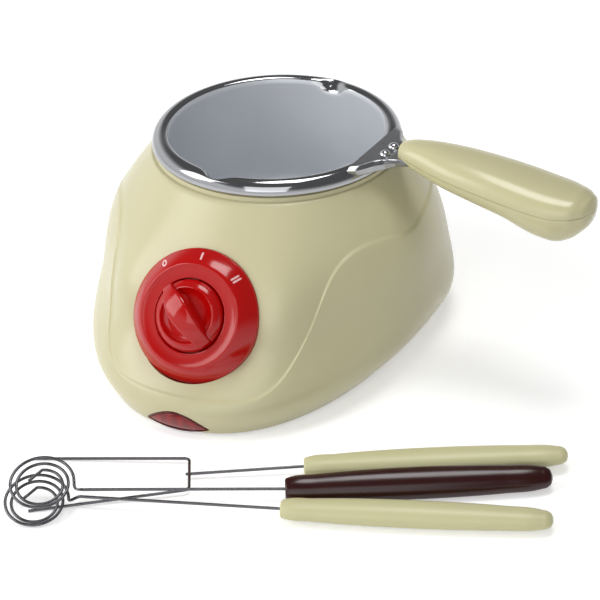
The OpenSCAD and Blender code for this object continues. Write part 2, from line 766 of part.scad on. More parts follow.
function dial_point(v) = [v.x, -nose(dial_z) - dial_proud + v.y * sin(dial_tilt) - v.z * cos(dial_tilt),
    dial_z + v.y * cos(dial_tilt) + v.z * sin(dial_tilt)];
module wiring() color([0.35, 0.20, 0.15]) {
    bay = cover_top + block_h / 2;
    lug_end = pocket_h - dial_t - switch_t - lug_l - slide_gap;
    for (side = [-1, 1]) {
        lead([[side * block_w / 3, block_y + block_l / 4, bay],
            [side * block_w / 3, block_y - block_l, bay],
            [side * block_w, lead_fore - nose_reach, bay],
                dial_point([side * switch_w / 4, 0, lug_end - 4 * lead_d]),
            dial_point([side * switch_w / 4, 0, lug_end])]);
        lead([[side * block_w / 3, block_y + 0.75 * block_l, bay],
            [side * block_w / 3, block_y + 1.2 * block_l, bay],
            [side * cord_d / 5, inlet_y - gland_in - lead_d, inlet_z],
                [side * cord_d / 5, inlet_y - gland_in, inlet_z]]);
    }
}

// Pot: profile from the outside of its bottom, over the rim and down to its floor
function lip(t) = exp(-(min(abs(t - 90), abs(t - 270)) / lip_angle) ^ 2);
function lip_share(p) = max(0, 1 - max(0, p[0] - mouth_r) / (rim_r - mouth_r)) * max(0,
    1 - (crest_z - p[1]) / rim_h);
pot_wall_r = mouth_r - mouth_turn;
pot_foot_r = mouth_r - pot_draft;
rim_across_shares = [0.12, 0.3, 0.55, 0.76, 0.91, 0.985, 1];
rim_up_shares = [0.87, 0.95, 1, 0.93, 0.72, 0.39, 0];
rim_top = [for (i = [0 : 6]) [mouth_r + (rim_r - mouth_r) * rim_across_shares[i],
    rim_low + rim_h * rim_up_shares[i]]];
pot_corner_in = [for (a = [0 : 22.5 : 90])
    [pot_foot_r - pot_corner * (1 - sin(a)), pot_floor + pot_corner * (1 - cos(a))]];
pot_corner_out = [for (a = [0 : 22.5 : 90])
    [pot_foot_r - pot_corner + (pot_corner + sheet) * sin(a),
        pot_floor + pot_corner - (pot_corner + sheet) * cos(a)]];
pot_profile = concat(pot_corner_out,
    [[pot_wall_r + sheet, rim_low - sheet], [pot_wall_r + sheet + mouth_turn, rim_low + rim_h * 0.6]],
    [for (i = [2 : 5]) rim_top[i] - [sheet * 0.7, sheet]],
    [rim_top[6] - [sheet, 0]],
    [for (i = [6 : -1 : 0]) rim_top[i]],
    [[mouth_r, crest_z - rim_h * 0.2], [pot_wall_r, crest_z - rim_h * 0.55], [pot_wall_r, rim_low - rim_h]],
    [for (i = [4 : -1 : 0]) pot_corner_in[i]]);
module pot_bowl() color([0.75, 0.76, 0.78]) {
    rotate(pot_turn) skin([for (p = pot_profile) [for (i = [0 : pot_around - 1])
        let (t = i * 360 / pot_around, k = lip(t) * lip_share(p), r = p[0] + lip_out * k)
            [r * cos(t), r * sin(t), p[1] - lip_drop * k]]]);
}

// Saddle: a band formed over the rim, a plate out to the handle's nose, and a flange down each side
saddle_at = [mouth_r - pot_draft, plate_reach - rivet_y, plate_reach, grip_from + saddle_nose];
saddle_halves = [for (s = saddle_shares) s * saddle_half];
flange_at = [rim_r + flange_out, plate_reach + flange_out, grip_from - seat_gap];
flange_halves = [for (s = flange_shares) s * saddle_half];
flange_low = [for (s = flange_low_shares) rim_low + s * rim_h];
rim_core = [mouth_r + 0.4 * (rim_r - mouth_r), rim_low];
function off_rim(d) = [for (i = [1 : 5]) rim_top[i] + d * unit(rim_top[i] - rim_core)];

module flange(side) {
    top = crest_z + bracket_t;
    mirror([0, side < 0 ? 1 : 0, 0]) skin([for (i = [0 : 2])
        let (x = min(saddle_at[i + 1], grip_from - seat_gap), y = saddle_halves[i + 1],
            u = flange_at[i], v = flange_halves[i], z = flange_low[i])
            [[x, y - bracket_t, top - bracket_t + slide_gap], [u, v - bracket_t, z], [u, v, z],
                [x, y, top]]]);
}

module handle_bracket() color([0.70, 0.71, 0.73]) {
    outer = off_rim(bracket_t);
    rotate(pot_turn) {
        difference() {
            rotate(-saddle_angle) rotate_extrude(angle = 2 * saddle_angle, $fn = 96)
                polygon(concat(off_rim(slide_gap), [for (i = [4 : -1 : 0]) outer[i]]));
            translate([tongue_from - 2 * slide_gap, -tongue_w - slide_gap, tongue_z - slide_gap])
                cube([plate_reach - tongue_from, 2 * tongue_w + 2 * slide_gap,
                    crest_z + 2 * slide_gap - tongue_z]);
        }
        difference() {
            translate([0, 0, crest_z + slide_gap]) linear_extrude(bracket_t - slide_gap) difference() {
                polygon(concat([for (i = [0 : 3]) [saddle_at[i], saddle_halves[i]]],
                    [for (i = [3 : -1 : 0]) [saddle_at[i], -saddle_halves[i]]]));
                circle(r = (mouth_r + rim_r) / 2, $fn = 96);
            }
            for (side = [-1, 1]) translate([rivet_x, side * rivet_y, crest_z - over])
                cylinder(h = bracket_t + 2 * over, r = rivet_r / 2 + shaft_gap, $fn = 24);
        }
        for (side = [-1, 1]) flange(side);
    }
}

// Flat tongue riveted under the saddle plate, which carries the handle
module handle_tongue() color([0.66, 0.67, 0.69]) {
    rotate(pot_turn) translate([0, 0, tongue_z]) difference() {
        translate([tongue_from, -tongue_w, 0]) cube([tongue_to - tongue_from, 2 * tongue_w, bracket_t]);
        translate([posts[0], 0, -over]) cylinder(h = bracket_t + 2 * over, r = screw_d / 2 + slide_gap,
            $fn = 32);
        for (side = [-1, 1]) translate([rivet_x, side * rivet_y, -over])
            cylinder(h = bracket_t + 2 * over, r = rivet_r / 2 + shaft_gap, $fn = 24);
    }
}

module bracket_rivets() color([0.78, 0.79, 0.81]) {
    rotate(pot_turn) for (side = [-1, 1]) translate([rivet_x, side * rivet_y, crest_z + bracket_t]) {
        intersection() {
            translate([0, 0, -rivet_r / 2]) sphere(r = rivet_r * sqrt(1.25), $fn = 40);
            translate([0, 0, rivet_r / 2]) cube([3 * rivet_r, 3 * rivet_r, rivet_r], center = true);
        }
        translate([0, 0, tongue_z - crest_z - bracket_t])
            cylinder(h = crest_z + bracket_t - tongue_z, r = rivet_r / 2, $fn = 24);
    }
}

// Half of the handle: sign is 1 for the upper half and -1 for the lower, shrunk by d
function bow(x) = sign(x) * abs(x) ^ (2 / grip_power);
module half_grip(side, d, shift) {
    from = side > 0 ? 0 : 180;
    depth_shares = side > 0 ? up_shares : down_shares;
    full = side > 0 ? grip_up : grip_down;
    first = d > 0 ? 0.05 : 0;
    last = d > 0 ? 0.93 : 1;
    steps = 20;
    skin([for (k = [0 : steps])
        let (s = first + (last - first) * (1 - cos(180 * k / steps)) / 2,
            w = max(grip_half * curve(reach_shares, half_shares, s) - d, sheet / 4),
            h = max(full * curve(reach_shares, depth_shares, s) - d, sheet / 4),
            z = grip_axis + grip_up * curve(reach_shares, axis_shares, s) + side * shift)
            [for (j = [0 : grip_sides]) let (a = from + 180 * j / grip_sides)
                [grip_from + grip_len * s, w * bow(cos(a)), z + h * bow(sin(a))]]]);
}

// Height of the seam between the handle's halves at x
function seam(x) = grip_axis + grip_up * curve(reach_shares, axis_shares, (x - grip_from) / grip_len);

// Half of the handle, hollow but for its two screw posts
module grip_shell(side) {
    difference() {
        half_grip(side, 0, seam_gap / 2);
        difference() {
            half_grip(side, grip_wall, -over);
            for (x = posts) translate([x, 0, grip_axis - 2 * grip_down])
                cylinder(h = 4 * grip_down, r = post_r, $fn = 48);
        }
        translate([grip_from - over, -tongue_w - slide_gap, tongue_z - slide_gap])
            cube([tongue_to - grip_from + over + seat_gap, 2 * tongue_w + 2 * slide_gap,
                crest_z + bracket_t - tongue_z + 2 * slide_gap]);
        translate([grip_from - over, -saddle_slot, crest_z])
            cube([over + saddle_nose + seat_gap, 2 * saddle_slot, bracket_t + slide_gap]);
    }
}

// Level of the shoulder under which a handle screw's head sits
function shoulder(x) = min(seam(x), tongue_z) - post_floor;

module handle_upper() color([0.82, 0.79, 0.66]) {
    rotate(pot_turn) difference() {
        grip_shell(1);
        for (x = posts) translate([x, 0, shoulder(x)])
            cylinder(h = seam(x) - shoulder(x) + screw_bite, d = screw_d, $fn = 24);
    }
}

module handle_lower() color([0.82, 0.79, 0.66]) {
    rotate(pot_turn) difference() {
        grip_shell(-1);
        for (x = posts) translate([x, 0, shoulder(x)]) {
            translate([0, 0, -over]) cylinder(h = grip_down, d = screw_d + 2 * slide_gap, $fn = 24);
            translate([0, 0, -2 * grip_down]) cylinder(h = 2 * grip_down, r = head_r + slide_gap, $fn = 32);
        }
    }
}

module handle_screws() color([0.7, 0.7, 0.7]) {
    rotate(pot_turn) for (x = posts) translate([x, 0, shoulder(x)]) {
        translate([0, 0, -head_h]) cylinder(h = head_h, r = head_r, $fn = 32);
        translate([0, 0, -head_h]) cylinder(h = head_h + seam(x) - shoulder(x) + screw_bite - over,
            d = screw_d - 2 * shaft_gap, $fn = 24);
    }
}

// Dipping tools. Each lies along its own x axis, with its handle from x = 0 outward
module at_tool(at, turn, pitch = 0, z = tool_r) {
    translate([at.x, at.y, z]) rotate([0, 0, turn]) rotate([0, pitch, 0]) children();
}

module tool_handle() {
    places = concat([0, tool_reach_shares[1], tool_reach_shares[2]],
        [for (i = [1 : tool_rings])
            tool_reach_shares[2] + (tool_reach_shares[8] - tool_reach_shares[2]) * i / tool_rings],
        [for (i = [9 : 11]) tool_reach_shares[i]]);
    difference() {
        skin([for (s = places) let (g = curve(tool_reach_shares, tool_girth_shares, s))
            [for (j = [0 : tool_sides - 1]) let (a = 360 * j / tool_sides)
                [tool_len * s, tool_wide * g * cos(a), tool_r * g * sin(a)]]]);
        translate([-over, 0, 0]) rotate([0, 90, 0])
            cylinder(h = wire_in + over, d = wire_d + 2 * shaft_gap, $fn = 24);
    }
}

module wire(route) tube(route, wire_d / 2, wire_sides, [0, 0, 1]);
fork_pitch = -asin((tool_r - wire_d / 2) / (tool_len / 2 + fork_stem + prong_len));
fork_z = tool_r + tool_len / 2 * sin(fork_pitch);
fork_bend = 2.5;
function kicked(p) = [p.x * cos(fork_kick) - p.y * sin(fork_kick),
    p.x * sin(fork_kick) + p.y * cos(fork_kick), p.z];
function prong(side) = let (way = [-cos(fork_splay), side * sin(fork_splay), 0],
    corner = [-fork_stem, side * fork_w / 2, 0])
    [for (p = concat([corner + prong_len * way, corner + prong_len / 2 * way],
        [for (i = [0 : 4]) let (s = i / 4) corner + fork_bend * ((1 - s) ^ 2 * way + s ^ 2 * [0, -side,
            0])])) kicked(p)];
module fork_wire() color([0.45, 0.45, 0.47]) {
    far = prong(1);
    at_tool(fork_at, fork_turn, fork_pitch, fork_z) {
        wire(concat(prong(-1), [for (i = [len(far) - 1 : -1 : 0]) far[i]]));
        wire([kicked([-fork_stem - 1.2 * wire_d, 0, 0]), kicked([-fork_stem / 2, 0, 0]),
            kicked([-wire_d, 0, 0]), [0, 0, 0], [wire_in, 0, 0]]);
    }
}

module fork_handle() color([0.86, 0.86, 0.70]) at_tool(fork_at, fork_turn, fork_pitch,
    fork_z) tool_handle();
module cream_spiral_handle() color([0.86, 0.86, 0.70]) at_tool(cream_at, cream_turn) tool_handle();
module brown_spiral_handle() color([0.30, 0.09, 0.08])
    at_tool(brown_at, brown_turn, 0, brown_z) rotate([brown_roll, 0, 0]) tool_handle();

// Spiral wire: a straight stem, a bend up to the coil, its loops and a short tail
lean_axis = [sin(coil_face) * sin(coil_lean), -cos(coil_face) * sin(coil_lean), cos(coil_lean)];
lean_x = [cos(coil_face), sin(coil_face), 0];
lean_y = cross(lean_axis, lean_x);
function on_coil(centre, a) = let (loops = a / 360)
    centre + (coil_r - coil_in * loops) * (cos(a) * lean_x + sin(a) * lean_y)
        - coil_down * loops * lean_axis;
function blend(p, q, a, b, s) =
    p * (1 + 2 * s) * (1 - s) ^ 2 + a * s * (1 - s) ^ 2 + q * s * s * (3 - 2 * s) + b * s * s * (s - 1);
function spiral(at, z, turn, kick, centre) =
    let (mouth = [at.x, at.y, z],
        along = [cos(turn + kick), sin(turn + kick), 0],
        start = mouth + wire_in * [cos(turn), sin(turn), 0],
        stop = mouth - stem_len * along,
        count = round(coil_loops * loop_rings),
        loops = [for (i = [0 : count]) on_coil(centre, i * coil_loops * 360 / count)],
        heading = unit(loops[1] - loops[0]),
        inward = unit(centre - coil_down * coil_loops * lean_axis - loops[count]),
        tail = unit(unit(loops[count] - loops[count - 1]) + inward),
        pull = norm(loops[0] - stop))
        concat([start, mouth, mouth - wire_d * along, stop + pull / 4 * along],
            [for (i = [0 : 7]) blend(stop, loops[0], -pull * along, 1.2 * pull * heading, i / 8)],
            loops, [loops[count] + tail_len / 2 * tail, loops[count] + tail_len * tail]);

cream_route = spiral(cream_at, tool_r, cream_turn, cream_kick, cream_coil);
brown_route = spiral(brown_at, brown_z, brown_turn, brown_kick, brown_coil);
module cream_spiral_wire() color([0.45, 0.45, 0.47]) wire(cream_route);
module brown_spiral_wire() color([0.45, 0.45, 0.47]) wire(brown_route);

// Least gap of a spiral to itself, over points a quarter loop or more apart
function self_gap(route) = let (apart = loop_rings / 4)
    min([for (i = [0 : len(route) - 1 - apart],
        j = [i + apart : len(route) - 1]) norm(route[i] - route[j])]) - wire_d;
echo(cream_gap = self_gap(cream_route), brown_gap = self_gap(brown_route));

base_shell();
bottom_cover();
rubber_feet();
cover_screws();
heater_well();
heating_plate();
heater_ring();
heater_clamp();
clamp_screws();
thermostat();
thermal_fuse();
heat_shield();
shield_spacers();
rotary_switch();
switch_nut();
dial_plate();
lamp_lens();
lamp_bezel();
neon_lamp();
lamp_holder();
terminal_block();
cord_gland();
wiring();
switch_shaft();
knob();
pot_bowl();
handle_bracket();
handle_tongue();
bracket_rivets();
handle_upper();
handle_lower();
handle_screws();
fork_wire();
fork_handle();
cream_spiral_wire();
cream_spiral_handle();
brown_spiral_wire();
brown_spiral_handle();
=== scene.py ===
# %% [markdown]
# An electric melting pot for chocolate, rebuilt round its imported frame. The frame
# brings every hidden piece at its true size. This lesson adds the surfaces that the
# eye sees: the moulded housing, the red dial and knob, the formed steel pot, its
# handle and the three dipping tools. Sizes below are in millimetres, as in the
# part's own source, and a mesh is scaled to metres once, when it is made.

# %% Frame and libraries
import bpy
import numpy as np
from mathutils import Matrix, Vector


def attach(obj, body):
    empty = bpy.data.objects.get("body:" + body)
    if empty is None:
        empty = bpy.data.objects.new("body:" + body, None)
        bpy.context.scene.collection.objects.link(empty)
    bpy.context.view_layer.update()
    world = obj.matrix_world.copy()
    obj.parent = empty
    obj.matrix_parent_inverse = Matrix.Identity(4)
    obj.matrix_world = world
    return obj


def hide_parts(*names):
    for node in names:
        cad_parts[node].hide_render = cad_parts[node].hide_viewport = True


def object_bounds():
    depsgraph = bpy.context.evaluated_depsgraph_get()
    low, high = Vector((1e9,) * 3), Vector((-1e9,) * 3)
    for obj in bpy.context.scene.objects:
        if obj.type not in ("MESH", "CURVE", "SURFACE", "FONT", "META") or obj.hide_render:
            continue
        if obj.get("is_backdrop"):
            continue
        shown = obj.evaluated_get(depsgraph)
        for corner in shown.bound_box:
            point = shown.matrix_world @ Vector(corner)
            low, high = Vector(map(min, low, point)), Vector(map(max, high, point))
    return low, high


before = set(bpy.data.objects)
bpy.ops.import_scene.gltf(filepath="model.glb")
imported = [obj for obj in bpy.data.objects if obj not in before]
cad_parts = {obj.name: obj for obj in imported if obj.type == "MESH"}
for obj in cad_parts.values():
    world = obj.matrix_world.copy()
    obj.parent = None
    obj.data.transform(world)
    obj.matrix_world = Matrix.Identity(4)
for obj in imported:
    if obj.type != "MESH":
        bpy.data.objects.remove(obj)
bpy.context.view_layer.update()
MM = 0.001


def corners():
    """The model's box as plain numbers"""
    return [[float(v) for v in corner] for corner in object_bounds()]


# %% [markdown]
# A camera can be aimed by eye, but a photograph fixes it better. The rim, its inner
# edge and the housing's outline were matched to a pinhole camera, which gave an
# angle round the object, an angle above the table, a distance and a small roll. The
# camera's three axes are written straight into its matrix.

# %% Camera
AZIMUTH, ELEVATION, ROLL = np.radians([24.95, 31.42, -2.09])
DISTANCE = 1120.45
AIM_RIGHT, AIM_UP = 8.27, 2.48
SENSOR = 36
FOCAL = 132

back = np.array([np.sin(AZIMUTH) * np.cos(ELEVATION), -np.cos(AZIMUTH) * np.cos(ELEVATION),
                 np.sin(ELEVATION)])
right = np.array([np.cos(AZIMUTH), np.sin(AZIMUTH), 0])
above = np.cross(back, right)
turned_right = right * np.cos(ROLL) + above * np.sin(ROLL)
turned_up = above * np.cos(ROLL) - right * np.sin(ROLL)
eye = right * AIM_RIGHT + np.array([0, 0, AIM_UP]) + back * DISTANCE
axes = np.eye(4)
axes[:3] = np.column_stack([turned_right, turned_up, back, eye * MM])

lens = bpy.data.cameras.new("view")
lens.sensor_width = SENSOR
lens.lens = FOCAL
lens.clip_end = 20
viewer = bpy.data.objects.new("view", lens)
bpy.context.scene.collection.objects.link(viewer)
viewer.matrix_world = Matrix(axes.tolist())
bpy.context.scene.camera = viewer
bpy.context.scene.view_settings.view_transform = "Standard"
print("camera stands", np.round(eye), "mm from the pot's foot")

# %% [markdown]
# Shader maths reads best as ordinary sums. A small class wraps a socket, and each
# operator on it adds the Math node that does the same. Whatever has settings comes
# from one method, which sets them before it fills the sockets.


# %% Shader helpers
def operators(operation):
    """The functions that Python calls for a sign: one for a term on the left of it, one
    for a term on the right"""
    return (lambda term, other: term.join(operation, term, other),
            lambda term, other: term.join(operation, other, term))


class Term:
    """A socket whose operators add Math nodes"""

    def __init__(self, shader, socket):
        self.shader, self.socket = shader, socket

    def join(self, operation, first, second):
        """The Math node that does the operation on two terms or numbers"""
        return self.shader.node("ShaderNodeMath", {"operation": operation}, {0: first, 1: second})

    __add__, __radd__ = operators("ADD")
    __sub__, __rsub__ = operators("SUBTRACT")
    __mul__, __rmul__ = operators("MULTIPLY")
    __truediv__ = operators("DIVIDE")[0]
    __pow__ = operators("POWER")[0]

    def over(self, edge):
        """1 where the term is greater than the edge, else 0"""
        return self.join("GREATER_THAN", self, edge)


class Shader:
    """A material with one Principled surface and a method that makes any node"""

    def __init__(self, name):
        self.material = bpy.data.materials.new(name)
        self.material.use_nodes = True
        self.tree = self.material.node_tree
        self.skin = self.tree.nodes["Principled BSDF"]
        self.place = self.node("ShaderNodeTexCoord", {}, {}, "Object")

    def node(self, kind, settings, values, output=0):
        """A node with its settings made first and its sockets filled after"""
        made = self.tree.nodes.new(kind)
        for key, value in settings.items():
            setattr(made, key, value)
        for key, value in values.items():
            self.fill(made.inputs[key], value)
        return Term(self, made.outputs[output])

    def fill(self, socket, value):
        """Link a term to a socket, or write a number on it"""
        if isinstance(value, Term):
            self.tree.links.new(value.socket, socket)
        else:
            socket.default_value = value

    def set(self, **values):
        """Fill the Principled surface, with _ for a space in a socket's name"""
        for key, value in values.items():
            self.fill(self.skin.inputs[key.replace("_", " ")], value)

    def part(self, axis):
        """One coordinate of the object in millimetres"""
        return self.node("ShaderNodeSeparateXYZ", {}, {"Vector": self.place}, axis) / MM

    def noise(self, size, detail=3, stretch=(1, 1, 1)):
        """Soft noise from 0 to 1 whose blotches are about size millimetres"""
        spread = self.node("ShaderNodeMapping", {}, {"Vector": self.place, "Scale": stretch})
        return self.node("ShaderNodeTexNoise", {},
                         {"Vector": spread, "Scale": 1 / (size * MM), "Detail": detail})

    def blend(self, low, high, share):
        """Colour that goes from low to high as share goes from 0 to 1"""
        made = self.tree.nodes.new("ShaderNodeMix")
        made.data_type = "RGBA"
        for socket, value in ((0, share), (6, low), (7, high)):
            self.fill(made.inputs[socket], value)
        return Term(self, made.outputs[2])

    def bump(self, height, depth):
        """Surface detail whose full height is depth millimetres"""
        self.set(Normal=self.node("ShaderNodeBump", {},
                                  {"Height": height, "Distance": depth * MM, "Strength": 1.0}))



def tone(red, green, blue, share=1.0):
    """A colour written as the eye reads it, 0 to 255, turned to linear light"""
    level = np.array([red, green, blue]) / 255
    linear = np.where(level > 0.04045, ((level + 0.055) / 1.055) ** 2.4, level / 12.92) * share
    return (*[float(v) for v in linear], 1.0)


# %% [markdown]
# Moulded plastic is never one flat colour. The pigment swirls very slightly, the
# gloss changes where hands have rubbed it, and the mould leaves a ripple too fine to
# feel. The same recipe, with other numbers, gives every plastic, the rubber and the
# ceramic.


# %% Plastics
SCUFF, SPECK, RIPPLE = 18, 1.2, 7


def plastic(name, colour, rough, swirl=0.05, ripple=0.004, grain=60, wear=0.08):
    """Colour times a share from 1 - swirl to 1, roughness that wanders by wear, and a
    ripple of so many millimetres; grain is the size of the pigment's blotches"""
    shader = Shader(name)
    cloud, speck, scuff = shader.noise(grain, 1), shader.noise(SPECK, 2), shader.noise(SCUFF, 1)
    shader.set(
        Base_Color=shader.blend(tone(*colour, 1 - swirl), tone(*colour), cloud),
        Roughness=rough + wear * (scuff - 0.5) + wear * 0.1 * (speck - 0.5),
        Coat_Roughness=0.05, IOR=1.5)
    shader.bump(shader.noise(RIPPLE, 2), ripple)
    return shader.material


cream = plastic("cream_moulding", (207, 201, 162), 0.27, swirl=0.03, ripple=0.0003, wear=0.01)
cream_grip = plastic("cream_grip", (208, 202, 160), 0.2, ripple=0.0006, grain=30, wear=0.02)
cream_tool = plastic("cream_tool_grip", (212, 208, 162), 0.38, ripple=0.01, grain=22)
brown_tool = plastic("brown_tool_grip", (50, 12, 10), 0.22, ripple=0.001, grain=22)
red = plastic("red_dial", (186, 6, 6), 0.13, swirl=0.06, ripple=0.0006, grain=24)
red_dark = plastic("dark_red_frame", (86, 8, 10), 0.2, grain=12)
print_pink = plastic("printed_marks", (238, 196, 196), 0.45, grain=4)
cover_black = plastic("cover_black", (42, 40, 37), 0.5, ripple=0.02)
switch_black = plastic("switch_black", (36, 36, 38), 0.4)
ceramic = plastic("white_ceramic", (226, 220, 206), 0.42, grain=10)
mica = plastic("mica_ring", (176, 154, 104), 0.55, swirl=0.3, ripple=0.05, grain=5)
rubber = plastic("foot_rubber", (30, 30, 30), 0.75, ripple=0.03, grain=4)
enamel = plastic("well_enamel", (196, 190, 150), 0.3, ripple=0.01)
sleeve = plastic("wire_sleeve", (120, 62, 40), 0.5, grain=6)
print("plastics run from", cream.name, "to", sleeve.name)

# %% [markdown]
# The lens is red plastic with a ribbed back. Ribs about a millimetre apart and a cloudy
# depth give it life without real glass. The small lamp behind it is warm, clear glass.

# %% Lens and lamp glass
lens_shader = Shader("red_lens")
ribs = lens_shader.node("ShaderNodeTexWave", {"bands_direction": "X", "wave_profile": "SIN"},
                        {"Vector": lens_shader.place, "Scale": 55.0, "Distortion": 0.4})
depth = lens_shader.noise(7, 2)
lens_shader.set(Base_Color=lens_shader.blend(tone(82, 2, 5), tone(168, 10, 14), depth * 0.7 + ribs * 0.3),
                Roughness=0.06 + 0.05 * ribs, Coat_Weight=0.2, Coat_Roughness=0.03)
lens_shader.bump(ribs, 0.03)
lens_red = lens_shader.material

glass_shader = Shader("lamp_glass")
film = glass_shader.noise(3, 2)
glass_shader.set(Base_Color=glass_shader.blend(tone(236, 150, 96), tone(250, 190, 140), film),
                 Roughness=0.08 + 0.04 * film, Transmission_Weight=0.6)
lamp_glass = glass_shader.material
print("lens and lamp:", lens_red.name, lamp_glass.name)

# %% [markdown]
# Metals differ in how they were worked. Drawn steel, zinc plate, a casting and pressed
# sheet share one recipe, in which streaks and soft patches change the tone a little
# and the roughness more. Roughness carries most of what tells metals apart.


# %% Metals
def metal(name, colour, rough, size=6, stretch=(1, 1, 1), wear=0.1, depth=0.006, dark=0.82):
    """Bare metal: tone from dark times the colour to the colour, roughness that wanders
    by wear, and streaks of a size, drawn out by stretch and so many millimetres deep"""
    shader = Shader(name)
    streak = shader.noise(size, 5, stretch)
    patch = shader.noise(16, 3)
    shader.set(Metallic=1.0,
               Base_Color=shader.blend(tone(*colour, dark), tone(*colour), patch * 0.5 + streak * 0.5),
               Roughness=rough + wear * (streak - 0.5) + wear * 0.5 * (patch - 0.5))
    shader.bump(streak, depth)
    return shader.material


steel = metal("drawn_steel", (196, 198, 202), 0.3)
zinc = metal("zinc_plate", (190, 190, 184), 0.38, 2)
cast = metal("cast_aluminium", (188, 190, 194), 0.5, 1.5, wear=0.2, depth=0.03)
shield = metal("shield_sheet", (182, 184, 188), 0.36, 8, (1, 12, 1))
saddle_steel = metal("saddle_steel", (172, 173, 176), 0.3, 3, dark=0.9)
rivet_steel = metal("rivet_steel", (214, 216, 220), 0.14, 2)
wire_steel = metal("tool_wire", (112, 112, 116), 0.24, 2, wear=0.16, dark=0.6)
print("metals:", steel.name, zinc.name, cast.name, shield.name, wire_steel.name)

# %% [markdown]
# The pot is one sheet with two finishes. Outside and over the rim it is polished and
# keeps fine turning marks; inside it is softly blasted. The two meet halfway through
# the sheet: the wall leans out by a share of the height, the corner is an arc about
# its own centre, and the floor is level.

# %% Pot finish
WALL_MID, WALL_LEAN, FLOOR_MID = 51.2, 0.0385, 40.6
CORNER_R, CORNER_Z, CORNER_MID = 38.8, 53.0, 12.4
BLAST_TOP, TURNING = 101.4, 2.2
pot_shader = Shader("pot_steel")
px, py, pz = pot_shader.part("X"), pot_shader.part("Y"), pot_shader.part("Z")
reach = (px * px + py * py) ** 0.5
in_wall = (WALL_MID + (pz - CORNER_Z) * WALL_LEAN - reach).over(0) * (pz - FLOOR_MID).over(0)
from_corner = ((reach - CORNER_R) ** 2 + (pz - CORNER_Z) ** 2) ** 0.5
past_corner = (reach - CORNER_R).over(0) * (CORNER_Z - pz).over(0) * from_corner.over(CORNER_MID)
inside = in_wall * (BLAST_TOP - pz).over(0) * (1 - past_corner)
turning = pot_shader.node("ShaderNodeTexNoise", {"noise_dimensions": "1D"},
                          {"W": reach * TURNING + pz * TURNING, "Scale": 1.0, "Detail": 4.0})
blast, cloud = pot_shader.noise(0.9, 3), pot_shader.noise(26, 3)
blasted_tone = pot_shader.blend(tone(206, 209, 214), tone(218, 221, 226), cloud)
blasted_rough = 0.40 + 0.08 * (cloud - 0.5) + 0.05 * (blast - 0.5)
pot_shader.set(
    Metallic=1.0 - 0.75 * inside,
    Base_Color=pot_shader.blend(tone(168, 169, 172), blasted_tone, inside),
    Roughness=(0.07 + 0.05 * turning) * (1 - inside) + blasted_rough * inside)
pot_shader.bump(turning * (1 - inside) * 0.4 + blast * inside, 0.012)
pot_steel = pot_shader.material
print("pot finish has", len(pot_shader.tree.nodes), "nodes")

# %% [markdown]
# Frame pieces whose shape is already right only need their finish. A table from each
# finish to its nodes does this for all of them.

# %% Finishes of the frame's own pieces
FINISHES = {
    cream: "base_shell", cover_black: "bottom_cover", rubber: "rubber_feet", enamel: "heater_well",
    cast: "heating_plate", mica: "heater_ring", steel: "heater_clamp switch_shaft handle_tongue",
    zinc: "cover_screws clamp_screws shield_spacers switch_nut handle_screws", shield: "heat_shield",
    ceramic: "thermostat thermal_fuse lamp_holder terminal_block", sleeve: "wiring",
    switch_black: "rotary_switch cord_gland", red: "dial_plate knob", lens_red: "lamp_lens",
    red_dark: "lamp_bezel", lamp_glass: "neon_lamp", pot_steel: "pot_bowl", saddle_steel: "handle_bracket",
    rivet_steel: "bracket_rivets", cream_grip: "handle_upper handle_lower",
    cream_tool: "fork_handle cream_spiral_handle", brown_tool: "brown_spiral_handle",
    wire_steel: "fork_wire cream_spiral_wire brown_spiral_wire"}

finished = [(node, finish) for finish, nodes in FINISHES.items() for node in nodes.split()]
for node, finish in finished:
    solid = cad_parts[node]
    solid.data.materials.clear()
    solid.data.materials.append(finish)
print(len(finished), "frame pieces have a finish")

# %% [markdown]
# Every new surface is a grid of points worked out as whole arrays. One function joins
# neighbouring points into faces, closes the grid where it goes round, fills open ends
# with a fan, and turns the faces outward by the sign of the volume they enclose.


# %% Grid to mesh
def faces_of(rows, columns, round_rows):
    """Quads between neighbouring grid lines; columns always go round"""
    i = np.arange(rows if round_rows else rows - 1)[:, None]
    j = np.arange(columns)[None, :]
    after_i, after_j = (i + 1) % rows, (j + 1) % columns
    quads = [i * columns + j, i * columns + after_j, after_i * columns + after_j, after_i * columns + j]
    return np.stack(np.broadcast_arrays(*quads), -1).reshape(-1, 4)


def volume(points, quads):
    """Signed volume: a sixth of the sum of each triangle's triple product"""
    total = 0.0
    for corner in ((0, 1, 2), (0, 2, 3)):
        a, b, c = (points[quads[:, k]] for k in corner)
        total += np.einsum("ij,ij->i", a, np.cross(b, c)).sum()
    return total / 6


def skin_of(name, grid, round_rows=False):
    """Closed mesh of a grid in millimetres: quads, and a fan over each end that stays open"""
    rows, columns, _ = grid.shape
    points = grid.reshape(-1, 3).astype(float)
    quads = faces_of(rows, columns, round_rows)
    fans = np.zeros((0, 3), int)
    for row, way in () if round_rows else ((0, 1), (rows - 1, -1)):
        j = row * columns + np.arange(columns)
        ring = np.stack([np.full(columns, len(points)), np.roll(j, -1), j], -1)
        fans = np.vstack([fans, ring[:, ::way]])
        points = np.vstack([points, points[j].mean(0)])
    if volume(points, np.vstack([quads, np.column_stack([fans, fans[:, 2]])])) < 0:
        quads, fans = quads[:, ::-1], fans[:, ::-1]
    mesh = bpy.data.meshes.new(name)
    mesh.from_pydata((points * MM).tolist(), [], quads.tolist() + fans.tolist())
    return mesh


def soften(mesh, sharp):
    """Shade smooth, but keep edges that turn by more than sharp degrees"""
    mesh.polygons.foreach_set("use_smooth", np.ones(len(mesh.polygons), bool))
    mesh.set_sharp_from_angle(angle=np.radians(sharp))


def placed(name, mesh):
    """A new object of the scene at the origin"""
    made = bpy.data.objects.new(name, mesh)
    bpy.context.scene.collection.objects.link(made)
    return made


